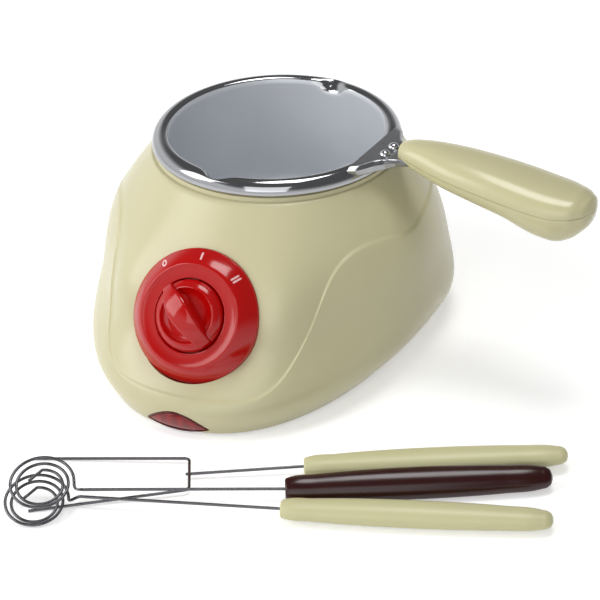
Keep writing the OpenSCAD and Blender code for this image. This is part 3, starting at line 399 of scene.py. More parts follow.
def solid_piece(name, grid, body, material, stands_for=(), round_rows=False, sharp=38):
    """A closed piece from a grid of millimetre points, riding on a body"""
    mesh = skin_of(name, grid, round_rows)
    mesh.validate()
    soften(mesh, sharp)
    mesh.materials.append(material)
    piece = placed(name, mesh)
    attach(piece, body)
    if stands_for:
        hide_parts(*stands_for)
    print(name, "has", len(mesh.polygons), "faces")
    return piece


def cut(piece, grids, sharp=32, way="DIFFERENCE"):
    """Take closed grids out of a piece, or join them to it, by an exact Boolean"""
    for grid in grids:
        mesh = skin_of("cutter", grid)
        tool = placed("cutter", mesh)
        step = piece.modifiers.new("cut", "BOOLEAN")
        step.operation, step.solver, step.object = way, "EXACT", tool
        bpy.context.view_layer.update()
        evaluated = piece.evaluated_get(bpy.context.evaluated_depsgraph_get())
        whole = bpy.data.meshes.new_from_object(evaluated)
        piece.modifiers.remove(step)
        old, piece.data = piece.data, whole
        whole.name = piece.name
        bpy.data.meshes.remove(old)
        bpy.data.objects.remove(tool)
        bpy.data.meshes.remove(mesh)
    soften(piece.data, sharp)


def round_angles(count):
    """Angles of so many even steps round a circle, in radians"""
    return np.linspace(0, 2 * np.pi, count, endpoint=False)


def turned_by(x, y, degrees):
    """Turn x and y anticlockwise: x' = x cos a - y sin a, y' = x sin a + y cos a"""
    a = np.radians(degrees)
    return x * np.cos(a) - y * np.sin(a), x * np.sin(a) + y * np.cos(a)


def spun(points, degrees):
    """Turn points anticlockwise about the upright axis"""
    return np.stack([*turned_by(points[..., 0], points[..., 1], degrees), points[..., 2]], -1)


def tube_grid(route, radius, sides=16):
    """Rings round a route: each ring's frame is carried along by the shortest turn"""
    route = np.asarray(route, float)
    way = np.gradient(route, axis=0)
    way /= np.linalg.norm(way, axis=1)[:, None]
    side = np.zeros_like(way)
    guess = np.array([0, 0, 1.0]) if abs(way[0, 2]) < 0.9 else np.array([1.0, 0, 0])
    for i in range(len(route)):
        guess = guess - way[i] * (guess @ way[i])
        guess /= np.linalg.norm(guess)
        side[i] = guess
    other = np.cross(way, side)
    a = round_angles(sides)[None, :, None]
    return route[:, None] + radius * (np.cos(a) * side[:, None] + np.sin(a) * other[:, None])


def smooth_line(points, count):
    """Catmull-Rom curve through points, evenly sampled by chord length"""
    points = np.asarray(points, float)
    padded = np.vstack([2 * points[0] - points[1], points, 2 * points[-1] - points[-2]])
    length = np.concatenate([[0], np.cumsum(np.linalg.norm(np.diff(points, axis=0), axis=1))])
    s = np.linspace(0, length[-1], count)
    i = np.clip(np.searchsorted(length, s, side="right") - 1, 0, len(points) - 2)
    t = ((s - length[i]) / (length[i + 1] - length[i]))[:, None]
    p0, p1, p2, p3 = (padded[i + k] for k in range(4))
    return 0.5 * (2 * p1 + (p2 - p0) * t + (2 * p0 - 5 * p1 + 4 * p2 - p3) * t ** 2
                  + (3 * p1 - p0 - 3 * p2 + p3) * t ** 3)


# %% [markdown]
# The housing is one smooth shell that is egg-shaped from above and closes to a circle
# at the top. At each height its outline is a superellipse, so four measured sizes and
# two powers, each following a cubic curve over the height, describe all of it. A low
# step sweeps round it: below the line the skin is nominal, above it the skin lies a
# millimetre deeper.

# %% Housing shape
SHELL_H, FOOT_GAP = 95, 1.5
LEVELS = np.array([0, 0.13, 0.43, 0.74, 1]) * SHELL_H
NOSE = np.array([0.98, 1, 0.805, 0.683, 59.5 / 123]) * 123
BACK = np.array([0.987, 1, 1, 0.911, 59.5 / 79]) * 79
WIDTH = np.array([0.867, 0.982, 1, 0.934, 59.5 / 83]) * 83
WIDEST = np.array([0.265, 0.169, -0.042, -0.04, 0]) * 83
NOSE_POWER = np.array([2.3, 2.3, 2.1, 2, 2])
BACK_POWER = np.array([2.1, 2.1, 2.25, 2, 2])
STEP_IN, WALL = 1.0, 2.4
DIAL_Z, DIAL_PROUD = 49.9, 3.2
FULL_OUT, FULL_TURN, FULL_SPREAD, FULL_HIGH = 8, 26, 13, 20


def cubic(knots, values, x):
    """Cubic through the knots, whose slope at a knot weighs its two neighbours"""
    gap = np.diff(knots)
    rise = np.diff(values) / gap
    within = (rise[:-1] * gap[1:] + rise[1:] * gap[:-1]) / (gap[1:] + gap[:-1])
    slope = np.concatenate([[rise[0]], within, [rise[-1]]])
    i = np.clip(np.searchsorted(knots, x, side="right") - 1, 0, len(gap) - 1)
    t = (x - knots[i]) / gap[i]
    return (values[i] * (1 + 2 * t) * (1 - t) ** 2 + slope[i] * gap[i] * t * (1 - t) ** 2
            + values[i + 1] * t * t * (3 - 2 * t) + slope[i + 1] * gap[i] * t * t * (t - 1))


def through(values, z):
    """A size of the housing at height z"""
    return cubic(LEVELS, values, np.clip(z, 0, SHELL_H))


def housing(z, t, inset=0.0):
    """Point of the skin at height z and angle t in degrees from the nose, moved in by
    inset: x is width times sin t to a power, y is nose or back times cos t to a power,
    and beside the dial the skin swells by a bell over angle and height"""
    z, t, inset = np.broadcast_arrays(*(np.asarray(v, float) for v in (z, t, inset)))
    s, c = np.sin(np.radians(t)), np.cos(np.radians(t))
    middle_y = through(WIDEST, z)
    power = 2 / np.where(c > 0, through(NOSE_POWER, z), through(BACK_POWER, z))
    reach_y = np.where(c > 0, -middle_y - through(NOSE, z), through(BACK, z) - middle_y)
    x = through(WIDTH, z) * np.sign(s) * np.abs(s) ** power
    y = reach_y * np.abs(c) ** power
    far = np.hypot(x, y)
    turn = np.abs((t + 180) % 360 - 180)
    full = FULL_OUT * np.exp(-((turn - FULL_TURN) / FULL_SPREAD) ** 2 - ((z - DIAL_Z) / FULL_HIGH) ** 2)
    grown = 1 + full / np.hypot(x, middle_y + y)
    return np.stack([(x - x * inset / far) * grown, (middle_y + y - y * inset / far) * grown, z], -1)


LINE_LOW, LINE_TOP, LINE_TURN, LINE_RATE = 18.8, 71.5, 36.5, 0.24


def step_line(t):
    """Height of the step: a logistic climb from under the dial to the sides, with a dip
    at 80 degrees and a hump at 58"""
    turn = np.abs((t + 180) % 360 - 180)
    climb = (LINE_TOP - LINE_LOW) / (1 + np.exp(np.clip((LINE_TURN - turn) * LINE_RATE, -60, 60)))
    return LINE_LOW + climb - 3.2 * np.exp(-((turn - 80) / 9) ** 2) + 1.0 * np.exp(-((turn - 58) / 8) ** 2)


COLUMNS = 480
COLLAR_FOOT, INSIDE_TOP = 92.5, 92.4
FOOT_ROUND, LINE_GAP, LINE_END = 0.7, 0.7, 1.4
LINE_PROFILE = ((-0.9, 0.0), (-0.5, 0.02), (-0.2, 0.1), (0.1, 0.3), (0.4, 0.6), (0.7, 0.86), (1.0, 0.97),
                (LINE_END, 1.0))
COLLAR = ((92.75, 61.2), (92.85, 60.6), (93.0, 60.15), (93.4, 60.0), (94.4, 59.95), (94.8, 59.8), (95, 59.4),
          (95, 57.6), (94.9, 56.2), (INSIDE_TOP, 56.1))
turns = np.arange(COLUMNS) * 360 / COLUMNS
line = step_line(turns)
skin_foot, inner_foot = FOOT_GAP + FOOT_ROUND, FOOT_GAP + 1.2
rows = [housing(z, turns, inset) for z, inset in
        ((inner_foot, WALL + STEP_IN), (FOOT_GAP, WALL), (FOOT_GAP, 0.7), (FOOT_GAP + 0.2, 0.25),
         (skin_foot, 0.0))]
for share in np.linspace(0, 1, 40)[1:]:
    rows.append(housing(skin_foot + (line - LINE_GAP - skin_foot) * share, turns))
for rise, inset in LINE_PROFILE:
    rows.append(housing(line + rise, turns, inset * STEP_IN))
for share in np.linspace(0, 1, 44)[1:]:
    z = line + LINE_END + (COLLAR_FOOT - line - LINE_END) * share
    rows.append(housing(z, turns, STEP_IN * (1 - share ** 3)))
circle = np.stack([np.sin(np.radians(turns)), -np.cos(np.radians(turns)), 0 * turns], -1)
for z, radius in COLLAR:
    rows.append(circle * radius + np.array([0, 0, z]))
for share in np.linspace(0, 1, 12)[:-1]:
    rows.append(housing(INSIDE_TOP - (INSIDE_TOP - inner_foot) * share, turns, WALL + STEP_IN))
shell = solid_piece("housing_shell", np.stack(rows), "housing", cream, ["base_shell"],
                    round_rows=True)

# %% [markdown]
# The dial leans back with the nose. A local frame on its axis makes its pieces simple
# turned shapes: right is +X, up follows the slope, and the third axis comes out of
# the face. Three holes are cut through the housing: round for the dial, an eye for
# the lamp and a round one at the back for the cord's gland.

# %% Dial frame and openings
TILT = np.radians(30.5)
FACE = np.array([0, -np.cos(TILT), np.sin(TILT)])
SLOPE = np.array([0, np.sin(TILT), np.cos(TILT)])
CENTRE = np.array([0, -through(NOSE, np.array([DIAL_Z]))[0] - DIAL_PROUD, DIAL_Z])
DIAL_R = 31.6
LAMP_FOOT, LAMP_HIGH, LAMP_HALF, LAMP_SAG = 2.1, 9, 15, 0.22
GLAND_R, GLAND_Z = 5.3, 15


def on_dial(x, y, h):
    """Point at x to the right, y up the slope and h out of the dial's face"""
    x, y, h = np.broadcast_arrays(x, y, h)
    return CENTRE + x[..., None] * np.array([1.0, 0, 0]) + y[..., None] * SLOPE + h[..., None] * FACE


def lamp_edge(s, rise, grow=0.0):
    """Eye outline seen from the front, x and z: s across from -1 to 1, rise 0 at the
    lower lid and 1 at the upper; both lids are parabolas that meet at the corners"""
    low = LAMP_FOOT + LAMP_HIGH * LAMP_SAG * s * s - grow * (1 - s * s)
    high = LAMP_FOOT + LAMP_HIGH * LAMP_SAG + (LAMP_HIGH * (1 - LAMP_SAG) + grow) * (1 - s * s)
    return s * (LAMP_HALF + grow), low + (high - low) * rise


def plug(x, z, depths):
    """Prism for a cut: an outline across x and z that runs between two values of y"""
    return np.stack([np.stack([x, y + 0 * x, z], -1) for y in depths])


spin = round_angles(128)
hole_x, hole_y = (DIAL_R + 0.1) * np.sin(spin), (DIAL_R + 0.1) * np.cos(spin)
dial_hole = np.stack([on_dial(hole_x, hole_y, h + 0 * spin) for h in (-12, 12)])
s = np.linspace(-1, 1, 33)
upper = np.stack(lamp_edge(s, 1.0, 1.2), -1)
lower = np.stack(lamp_edge(s[::-1], 0.0, 1.2), -1)[1:-1]
lids = np.vstack([upper, lower])
eye_hole = plug(lids[:, 0], lids[:, 1], (-132.0, -112.0))
gland_hole = plug(GLAND_R * np.cos(spin), GLAND_Z + GLAND_R * np.sin(spin), (70.0, 90.0))
cut(shell, [dial_hole, eye_hole, gland_hole])
print("three holes cut; the shell has", len(shell.data.polygons), "faces")

# %% [markdown]
# The dial plate is turned: a flat floor round the knob, a bowl that climbs to a crest,
# and a broad sloping band outside it that carries the marks. A small round edge
# catches the light where the band ends. Its section goes round an axis.


# %% Dial plate
def turned(section, where=on_dial, steps=192):
    """Carry a closed section of radius r and height h round an axis: x is r times sin a
    and y is r times cos a, and where() takes x, y and h to their place"""
    a = round_angles(steps)
    radius, height = np.asarray(section, float).T
    return where(radius[:, None] * np.sin(a), radius[:, None] * np.cos(a), height[:, None] + 0 * a)


CREST_R, CREST_H, EDGE_H, DISH_H, POCKET_R, POCKET_H, KNOB_LOW = 24, 6.3, -1, 5.7, 17.5, 1, 1.6
slope_share = np.linspace(0.02, 0.96, 26)
BAND = np.stack([CREST_R + (DIAL_R - CREST_R) * slope_share,
                 EDGE_H + (CREST_H - EDGE_H) * (1 - slope_share ** 1.35)], -1)
dish = smooth_line([(17.95, DISH_H + 0.02), (20, DISH_H + 0.06), (22, DISH_H + 0.25),
                    (23.2, CREST_H - 0.14), (23.7, CREST_H - 0.03)], 16)
pocket = [(4.9, -1.2), (4.9, POCKET_H), (POCKET_R, POCKET_H), (POCKET_R, DISH_H - 0.35),
          (17.6, DISH_H - 0.1)]
edge = [(31.45, -0.75), (31.56, -1.0), (DIAL_R, -1.4), (DIAL_R, -7), (29.4, -7), (29.4, -3), (28.4, -1.4),
        (26, 2.2), (24, 3.9), (19.7, 3.5), (19.7, -1.2)]
section = np.vstack([pocket, dish, [(CREST_R, CREST_H)], BAND, edge])
solid_piece("dial_face", turned(section), "housing", red, ["dial_plate"], round_rows=True,
            sharp=50)


# %% [markdown]
# The marks are printed. Each one is a thin closed strip that lies a hair above the
# band and follows its curve, so it stays on the dial from every side. All three lean
# the same way from the radial line.

# %% Printed marks
band_r, band_h = BAND.T


def mark(name, outline_points, angle, radius, lean, thick=0.06):
    """Strip between two outlines on the band, at a clockwise angle and a radius, leaning
    by an angle from the radial line"""
    inner, outer = (np.asarray(o, float) for o in outline_points)
    across = np.linspace(0, 1, 4)[:, None, None]
    flat = inner[None] * (1 - across) + outer[None] * across
    u, v = turned_by(flat[..., 0], flat[..., 1], -lean)
    x, y = turned_by(u, v + radius, -angle)
    level = np.interp(np.hypot(x, y), band_r, band_h)
    top, under = on_dial(x, y, level + thick), on_dial(x, y, level - thick)
    grid = np.concatenate([top, under[::-1]], 0)
    solid_piece(name, grid, "housing", print_pink, round_rows=True, sharp=60)


loop = round_angles(40)
oval = np.stack([np.cos(loop), np.sin(loop)], -1)
mark("mark_0", (oval * (0.55, 1.05), oval * (1.3, 1.85)), -40.1, 28.1, -11)


def bar(offset):
    """Outlines of a bar 4 mm long: a thin core line and its rounded edge"""
    core = np.stack([0 * loop + offset, 1.4 * np.sin(loop)], -1)
    round_x, round_y = (np.sign(w) * np.abs(w) ** 0.3 for w in (np.cos(loop), np.sin(loop)))
    rim = np.stack([offset + 0.46 * round_x, 1.75 * round_y], -1)
    return core, rim


mark("mark_1", bar(0.0), -0.1, 28.1, -14)
mark("mark_2_left", bar(-0.8), 42.3, 28, -4)
mark("mark_2_right", bar(0.8), 42.3, 28, -4)

# %% [markdown]
# The knob has two parts. A turned skirt rises over a round shoulder to the edge of a
# shallow recess. A leaf-shaped bar stands across the recess: it is widest in the
# middle, narrow where it points, and its top follows a dome. An exact union makes
# one closed skin of both.

# %% Knob
KNOB_R, POINTER = 16.9, 46
DOME_R, DOME_TOP, BAR_LOW = 22.8, 17.0, 4.0
skirt = [(15.4, KNOB_LOW), (16.7, KNOB_LOW), (KNOB_R, 1.8), (KNOB_R, 5.4)]
shoulder = smooth_line([(KNOB_R, 5.6), (16.75, 6.3), (16.4, 7.1), (15.6, 8.2), (14.4, 9.25),
                        (13.45, 9.8)], 22)
recess = smooth_line([(13.1, 9.86), (12.75, 9.6), (11.9, 8.7), (10.6, 8.02), (8.5, 7.68), (5, 7.6),
                      (0.05, 7.6)], 30)
body_part = np.vstack([[(0.05, KNOB_LOW)], skirt, shoulder, recess])
LEAF_ALONG = np.array([-1.1, -0.77, -0.56, -0.33, 0, 0.35, 0.7, 0.9, 1.1]) * KNOB_R
LEAF_HALF = np.array([0.5, 0.68, 0.81, 0.89, 0.98, 1, 0.73, 0.53, 0.42]) * 5.2


def bar_grid(rows=90, columns=25):
    """Rows across the bar from tail to pointer. Each row goes up one wall, over the dome,
    whose height is top - r + root(r^2 - along^2 - across^2), and down the other wall"""
    along = np.linspace(-0.985, 0.985, rows) * KNOB_R
    room = np.sqrt(np.clip(KNOB_R ** 2 - along ** 2, 0.3, None))
    half = np.minimum(cubic(LEAF_ALONG, LEAF_HALF, along), room)
    share = np.concatenate([[-1.05, -1.0], np.linspace(-0.985, 0.985, columns), [1.0, 1.05]])
    across = half[:, None] * np.clip(share, -1, 1)
    top = DOME_TOP - DOME_R + np.sqrt(DOME_R ** 2 - along[:, None] ** 2 - across ** 2)
    drop = 0.55 * np.clip((np.abs(share) - 0.8) / 0.2, 0, 1) ** 3
    height = np.where(np.abs(share) > 1, BAR_LOW, top - drop)
    return np.stack([across, along[:, None] + 0 * across, height], -1)


def pointed(points):
    """Turn a point of the knob to where it points and put it on the dial"""
    return on_dial(*np.moveaxis(spun(points, POINTER), -1, 0))


knob_piece = solid_piece("knob_grip", turned(body_part), "knob", red, ["knob"], sharp=35)
cut(knob_piece, [pointed(bar_grid())], 40, "UNION")
print("with its bar the knob has", len(knob_piece.data.polygons), "faces")

# %% [markdown]
# The lamp at the foot of the nose sits behind an eye-shaped lens in a dark frame. Both
# follow the housing's own curve: a point of the eye is looked up on the skin by its
# height and by how far it lies from the middle.


# %% Lens and bezel
X_PER_DEGREE = np.radians(1) * 100


def on_nose(x, z, out):
    """Point of the nose at x from the middle plane and height z, moved outward by out;
    twelve steps bring the skin's angle to where its x is the one asked for"""
    x, z, out = np.broadcast_arrays(x, z, out)
    t = np.degrees(np.arcsin(np.clip(x / through(WIDTH, z), -1, 1)))
    for _ in range(12):
        t = t - (housing(z, t)[..., 0] - x) / X_PER_DEGREE
    spot = housing(z, t, -out)
    return np.stack([x, spot[..., 1], z], -1)


cross = np.linspace(-1, 1, 65)
lift = np.linspace(0, 1, 25)
ex, ez = lamp_edge(cross[:, None], lift[None, :], -0.1)
ez = np.clip(ez, 0, None)
dome = np.clip(1 - (2 * lift - 1) ** 2, 0, 1)[None, :] * np.clip(1 - cross ** 2, 0, 1)[:, None]
front = on_nose(ex, ez, 0.1 + 1.0 * dome ** 0.7)
rear = on_nose(ex, ez, -2.2 + 0 * ex)
solid_piece("lamp_lens_face", np.concatenate([front, rear[:, ::-1]], 1), "housing", lens_red,
            ["lamp_lens"], sharp=60)

ring_s = np.concatenate([np.linspace(-1, 1, 49), np.linspace(1, -1, 49)[1:-1]])
ring_rise = np.concatenate([np.ones(49), np.zeros(47)])
frame_rows = []
for grow, out in ((0.05, -1.8), (0.05, 0.35), (0.3, 0.6), (0.8, 0.55), (1.1, 0.15), (1.1, -1.8)):
    fx, fz = lamp_edge(ring_s, ring_rise, grow)
    frame_rows.append(on_nose(fx, np.clip(fz, 0.6, None), out + 0 * fx))
solid_piece("lamp_frame", np.stack(frame_rows), "housing", red_dark, ["lamp_bezel"],
            round_rows=True, sharp=40)

# %% [markdown]
# The pot is spun from one sheet. Its section starts at the middle of the floor, climbs
# the wall, turns out over the rim and rolls down outside, then comes back beneath at
# the sheet's thickness. Two pouring lips push the mouth outward, most at the mouth
# itself and not at all on the wall below or at the rolled edge.

# %% Pot
MOUTH_R, RIM_R, RIM_LOW, RIM_H, SHEET = 52.8, 61, 96.5, 6, 0.8
POT_DEEP, POT_ROUND, POT_TURN = 61.5, 12, -6.5
LIP_SPREAD, LIP_OUT, LIP_DOWN = 6.5, 4.6, 2.2
CREST = RIM_LOW + RIM_H
FLOOR = CREST - POT_DEEP
ACROSS = np.array([0.07, 0.18, 0.38, 0.62, 0.83, 0.96, 1])
UP = np.array([0.88, 0.96, 1, 0.89, 0.64, 0.3, 0])
rim_top = np.stack([MOUTH_R + (RIM_R - MOUTH_R) * ACROSS, RIM_LOW + RIM_H * UP], -1)


def quarter(radius, x, z, start, end, count):
    """Arc of a radius about x, z between two angles in degrees"""
    a = np.radians(np.linspace(start, end, count))
    return np.stack([x + radius * np.cos(a), z + radius * np.sin(a)], -1)


FOOT_R, FLAT_R = MOUTH_R - 2, MOUTH_R - 14.5
WALL_TOP, WALL_FOOT, WALL_MIDDLE = RIM_LOW - RIM_H, FLOOR + 13, FLOOR + 35
floor_in = np.stack([np.linspace(1.5, FLAT_R, 12), np.full(12, FLOOR)], -1)
corner_in = quarter(POT_ROUND, FOOT_R - POT_ROUND, FLOOR + POT_ROUND, -90, -4, 12)
wall_in = smooth_line([(FOOT_R, WALL_FOOT), (51.6, WALL_MIDDLE), (MOUTH_R - 0.4, WALL_TOP),
                       (MOUTH_R - 0.4, CREST - 3.4)], 22)
throat = [(MOUTH_R - 0.35, CREST - 2.9), (MOUTH_R - 0.1, CREST - 2.0), (MOUTH_R + 0.2, CREST - 1.2)]
mouth = smooth_line(np.vstack([throat, rim_top]), 44)
under_rim = smooth_line(np.vstack([
    rim_top[6] - (SHEET, 0), [r - (SHEET * 0.7, SHEET) for r in rim_top[5:1:-1]],
    [(MOUTH_R + 0.8, RIM_LOW + RIM_H * 0.6), (MOUTH_R + 0.4, RIM_LOW - SHEET)]]), 24)
wall_out = smooth_line([(MOUTH_R + 0.4, WALL_TOP), (52.4, WALL_MIDDLE), (FOOT_R + SHEET, WALL_FOOT)], 12)
corner_out = quarter(POT_ROUND + SHEET, FOOT_R - POT_ROUND, FLOOR + POT_ROUND, -4, -90, 12)
floor_out = np.stack([np.linspace(FLAT_R, 1.5, 6), np.full(6, FLOOR - SHEET)], -1)
pot_section = np.vstack([floor_in, corner_in, wall_in, mouth, [rim_top[6] - (0.3, 0.35)], under_rim,
                         wall_out, corner_out, floor_out])


def lipped(x, y, z):
    """Push the mouth out and down at the two lips: a bell over the angle, times a share
    that falls from the mouth to the rim's edge and from the crest down"""
    reach = np.hypot(x, y)
    angle = np.degrees(np.arctan2(y, x)) % 360
    bell = np.exp(-(np.minimum(np.abs(angle - 90), np.abs(angle - 270)) / LIP_SPREAD) ** 2)
    over_rim = np.clip(1 - np.clip(reach - MOUTH_R, 0, None) / (RIM_R - MOUTH_R), 0, 1)
    push = bell * over_rim * np.clip(1 - (CREST - z) / RIM_H, 0, 1)
    grown = 1 + LIP_OUT * push / np.maximum(reach, 1)
    return np.stack([x * grown, y * grown, z - LIP_DOWN * push], -1)


def on_pot(points):
    """Turn points about the pot's axis by the angle at which it stands in its seat"""
    return spun(points, POT_TURN)


pot_grid = turned(pot_section, lambda x, y, h: on_pot(lipped(x, y, h)), 384)
solid_piece("melting_pot", pot_grid, "pot", pot_steel, ["pot_bowl"], sharp=50)

# %% [markdown]
# The saddle is bent from thin sheet: it wraps over the rim and narrows to a tongue
# that enters the handle, with its two long edges folded down. One grid makes it, from
# edge to edge across and from the mouth to the handle along. Its roof is level but for
# a shallow crease before the handle, and each fold is a steep drop past the edge.

# %% Saddle
SHEET_T = 1.1
PLATE_Z = CREST + 0.1
SADDLE_OUT = [52, 57, 61.2, 65.4, 70, 76]
SADDLE_HALF = [24.5, 20.5, 13.2, 9.4, 7.6, 7.0]
DROP_OUT = [52, 58, 61.2, 65.4, 70, 76]
DROP_TO = [2.2, 4.6, 5.0, 4.4, 3.0, 1.6]


def saddle_point(out, across):
    """Upper face: out runs from the mouth to the handle, across from one lower edge to
    the other. Past 1 the sheet flares to a lip and folds down"""
    side = np.clip(np.abs(across), 0, 1.25)
    fold = np.clip((side - 1) / 0.25, 0, 1)
    lip = (2.9 * np.minimum(fold * 4, 1) - 1.4 * fold) * np.interp(out, [60, 66], [1, 0.45])
    half = np.interp(out, SADDLE_OUT, SADDLE_HALF)
    v = np.sign(across) * half * np.minimum(side, 1) + np.sign(across) * lip
    roof = PLATE_Z + SHEET_T - 0.25 * np.exp(-((out - 64.6) / 0.9) ** 2)
    drop = np.interp(out, DROP_OUT, DROP_TO) * fold ** 0.8
    return out, v, roof - drop - 0.35 * np.clip((side - 0.86) / 0.14, 0, 1) ** 2


outs = np.concatenate([np.linspace(53.6, 64, 26), np.linspace(64.3, 76.5, 26)])
cross_at = np.concatenate([np.linspace(-1.25, -1.0, 9), np.linspace(-0.98, 0.98, 41),
                           np.linspace(1.0, 1.25, 9)])
o, v, h = saddle_point(outs[:, None] + 0 * cross_at, cross_at[None, :] + 0 * outs[:, None])
pinch = 0.5 * np.clip((np.abs(cross_at) - 1) / 0.1, 0, 1)
sheet_here = SHEET_T * np.where(np.abs(cross_at) > 1.02, 0.3, 1.0)
upper_face = np.stack([o, v, h], -1)
lower_face = np.stack([o, v - np.sign(v) * pinch, h - sheet_here], -1)
saddle_grid = on_pot(np.concatenate([upper_face, lower_face[:, ::-1]], 1))
solid_piece("rim_saddle", saddle_grid, "pot", saddle_steel, ["handle_bracket"], sharp=40)

# %% [markdown]
# The handle is moulded in two halves that meet in a seam at mid height. Across it, each
# half is half of a superellipse. Along it, half width, height, depth and the seam's
# own height are shares that follow a cubic curve, so the grip swells toward its end.

# %% Handle
GRIP_FROM, GRIP_LEN, GRIP_HALF, GRIP_UP, GRIP_DOWN = 69.5, 98.5, 17, 9.5, 16.5
GRIP_AXIS = CREST - 0.6
ALONG = np.array([0, 0.04, 0.12, 0.26, 0.42, 0.6, 0.75, 0.87, 0.95, 0.985, 1])
HALVES = np.array([0.3, 0.42, 0.58, 0.8, 0.93, 1, 1, 0.9, 0.64, 0.36, 0.04])
UPS = np.array([0.45, 0.62, 0.82, 0.95, 1, 1, 0.97, 0.88, 0.66, 0.4, 0.05])
DOWNS = np.array([0.22, 0.3, 0.38, 0.5, 0.6, 0.74, 0.98, 0.95, 0.62, 0.34, 0.04])
SEAMS = np.array([0.35, 0.3, 0.2, 0.06, -0.1, -0.3, -0.48, -0.55, -0.5, -0.46, -0.44])
GRIP_POWER, GRIP_LEAST, SEAM_STEP, SEAM_HALF = 2.3, 0.4, 0.35, 0.05


def bow(a):
    """A sine or cosine raised to 2 over the grip's power, with its sign kept"""
    return np.sign(a) * np.abs(a) ** (2 / GRIP_POWER)


def handle_half(side):
    """Grid of one half: rings of a superellipse arc, with a small round step at the seam"""
    s = (1 - np.cos(np.linspace(0, np.pi, 90))) / 2
    tall = GRIP_UP * cubic(ALONG, UPS, s) if side > 0 else GRIP_DOWN * cubic(ALONG, DOWNS, s)
    w = np.maximum(GRIP_HALF * cubic(ALONG, HALVES, s), GRIP_LEAST)[:, None]
    h = np.maximum(tall, GRIP_LEAST)[:, None]
    z = (GRIP_AXIS + GRIP_UP * cubic(ALONG, SEAMS, s))[:, None]
    a = np.radians(np.concatenate([[0], np.linspace(1.2, 178.8, 58), [180]]))[None, :]
    shrink = np.where((a < 0.01) | (a > 3.13), SEAM_STEP, 0.0)
    x = GRIP_FROM + GRIP_LEN * s[:, None] + 0 * a
    return np.stack([x, (w - shrink) * bow(np.cos(a)), z + side * (SEAM_HALF + h * bow(np.sin(a)))], -1)


solid_piece("grip_upper", on_pot(handle_half(1)), "pot", cream_grip, ["handle_upper"],
            sharp=46)
handle_low = solid_piece("grip_lower", on_pot(handle_half(-1)), "pot", cream_grip,
                         ["handle_lower"], sharp=46)

# %% [markdown]
# Two screws hold the halves together from below. Each sits deep in a round recess, so
# two holes are cut up into the lower half, and the frame's own screws show in them.

# %% Screw recesses
SCREW_SHARES, HOLE_R, HOLE_FROM = (0.22, 0.72), 2.95, 60.0
TONGUE_LOW, SCREW_DOWN = PLATE_Z - 1.2 - 0.1, 3


def seam_at(share):
    """Height of the seam at a share of the handle's length"""
    return GRIP_AXIS + GRIP_UP * cubic(ALONG, SEAMS, np.array([share]))[0]


recesses = []
round_a = round_angles(48)
for share in SCREW_SHARES:
    hole_x, hole_y = GRIP_FROM + share * GRIP_LEN + HOLE_R * np.cos(round_a), HOLE_R * np.sin(round_a)
    floor_z = min(seam_at(share), TONGUE_LOW) - SCREW_DOWN
    recesses.append(on_pot(np.stack([np.stack([hole_x, hole_y, z + 0 * round_a], -1)
                                     for z in (HOLE_FROM, floor_z)])))
cut(handle_low, recesses, 40)
print("with its recesses the lower half has", len(handle_low.data.polygons), "faces")

# %% [markdown]
# The tools are simple and show clearly, so their curves matter. A handle is an oval
# spindle with round ends. The fork lies lowest with its prongs' tips on the table, the
# cream spiral lies beside it, and the brown one rests rolled over both.

# %% Tools
TOOL_R, TOOL_WIDE, TOOL_LEN, WIRE_D, WIRE_IN = 5.2, 7.6, 119, 1.4, 15
BORE_R = WIRE_D / 2 + 0.05
FORK_AT, FORK_TURN, FORK_KICK, FORK_STEM, PRONG, FORK_W = (68.4, -129.6), 23.7, 2.2, 52, 72, 24
CREAM_AT, CREAM_TURN, CREAM_KICK = (72.5, -164.2), 17.5, -1.7
BROWN_AT, BROWN_TURN, BROWN_KICK, BROWN_ROLL = (68.7, -151), 25.7, -3.9, 30
BROWN_Z = np.hypot(TOOL_WIDE * np.sin(np.radians(BROWN_ROLL)), TOOL_R * np.cos(np.radians(BROWN_ROLL)))
FORK_PITCH = -np.arcsin((TOOL_R - WIRE_D / 2) / (TOOL_LEN / 2 + FORK_STEM + PRONG))
FORK_Z = TOOL_R + TOOL_LEN / 2 * np.sin(FORK_PITCH)
TOOL_REACH = np.array([0, 0.004, 0.012, 0.12, 0.28, 0.46, 0.64, 0.82, 0.955, 0.982, 0.995, 1])
TOOL_GIRTH = np.array([0.56, 0.64, 0.69, 0.83, 0.95, 1, 0.98, 0.88, 0.72, 0.6, 0.4, 0.18])


def on_tool(points, at, heading, pitch=0.0, z=TOOL_R):
    """Tilt a tool about its near end, turn it on the table and carry it to its place"""
    x = points[..., 0] * np.cos(pitch) + points[..., 2] * np.sin(pitch)
    up = points[..., 2] * np.cos(pitch) - points[..., 0] * np.sin(pitch)
    x, y = turned_by(x, points[..., 1], heading)
    return np.stack([at[0] + x, at[1] + y, z + up], -1)


def spindle(roll=0.0):
    """Oval handle, rolled about its length: a share of the width and thickness follows a
    cubic along it, and a bore takes the wire"""
    s = np.concatenate([np.linspace(0, 0.012, 7), np.linspace(0.02, 0.95, 60), np.linspace(0.955, 0.98, 6),
                        1 - 0.02 * np.linspace(1, 0, 12)[1:] ** 2])
    girth = cubic(TOOL_REACH, TOOL_GIRTH, s)[:, None]
    a = round_angles(72)
    skin_y, skin_z = TOOL_WIDE * girth * np.cos(a), TOOL_R * girth * np.sin(a)
    skin = np.stack([TOOL_LEN * s[:, None] + 0 * a, skin_y, skin_z], -1)
    bore_y, bore_z = BORE_R * np.cos(a), BORE_R * np.sin(a)
    bore = np.stack([np.stack([x + 0 * a, bore_y, bore_z], -1) for x in (WIRE_IN, 0.0)])
    whole = np.concatenate([bore, skin])
    return np.stack([whole[..., 0], *turned_by(whole[..., 1], whole[..., 2], roll)], -1)


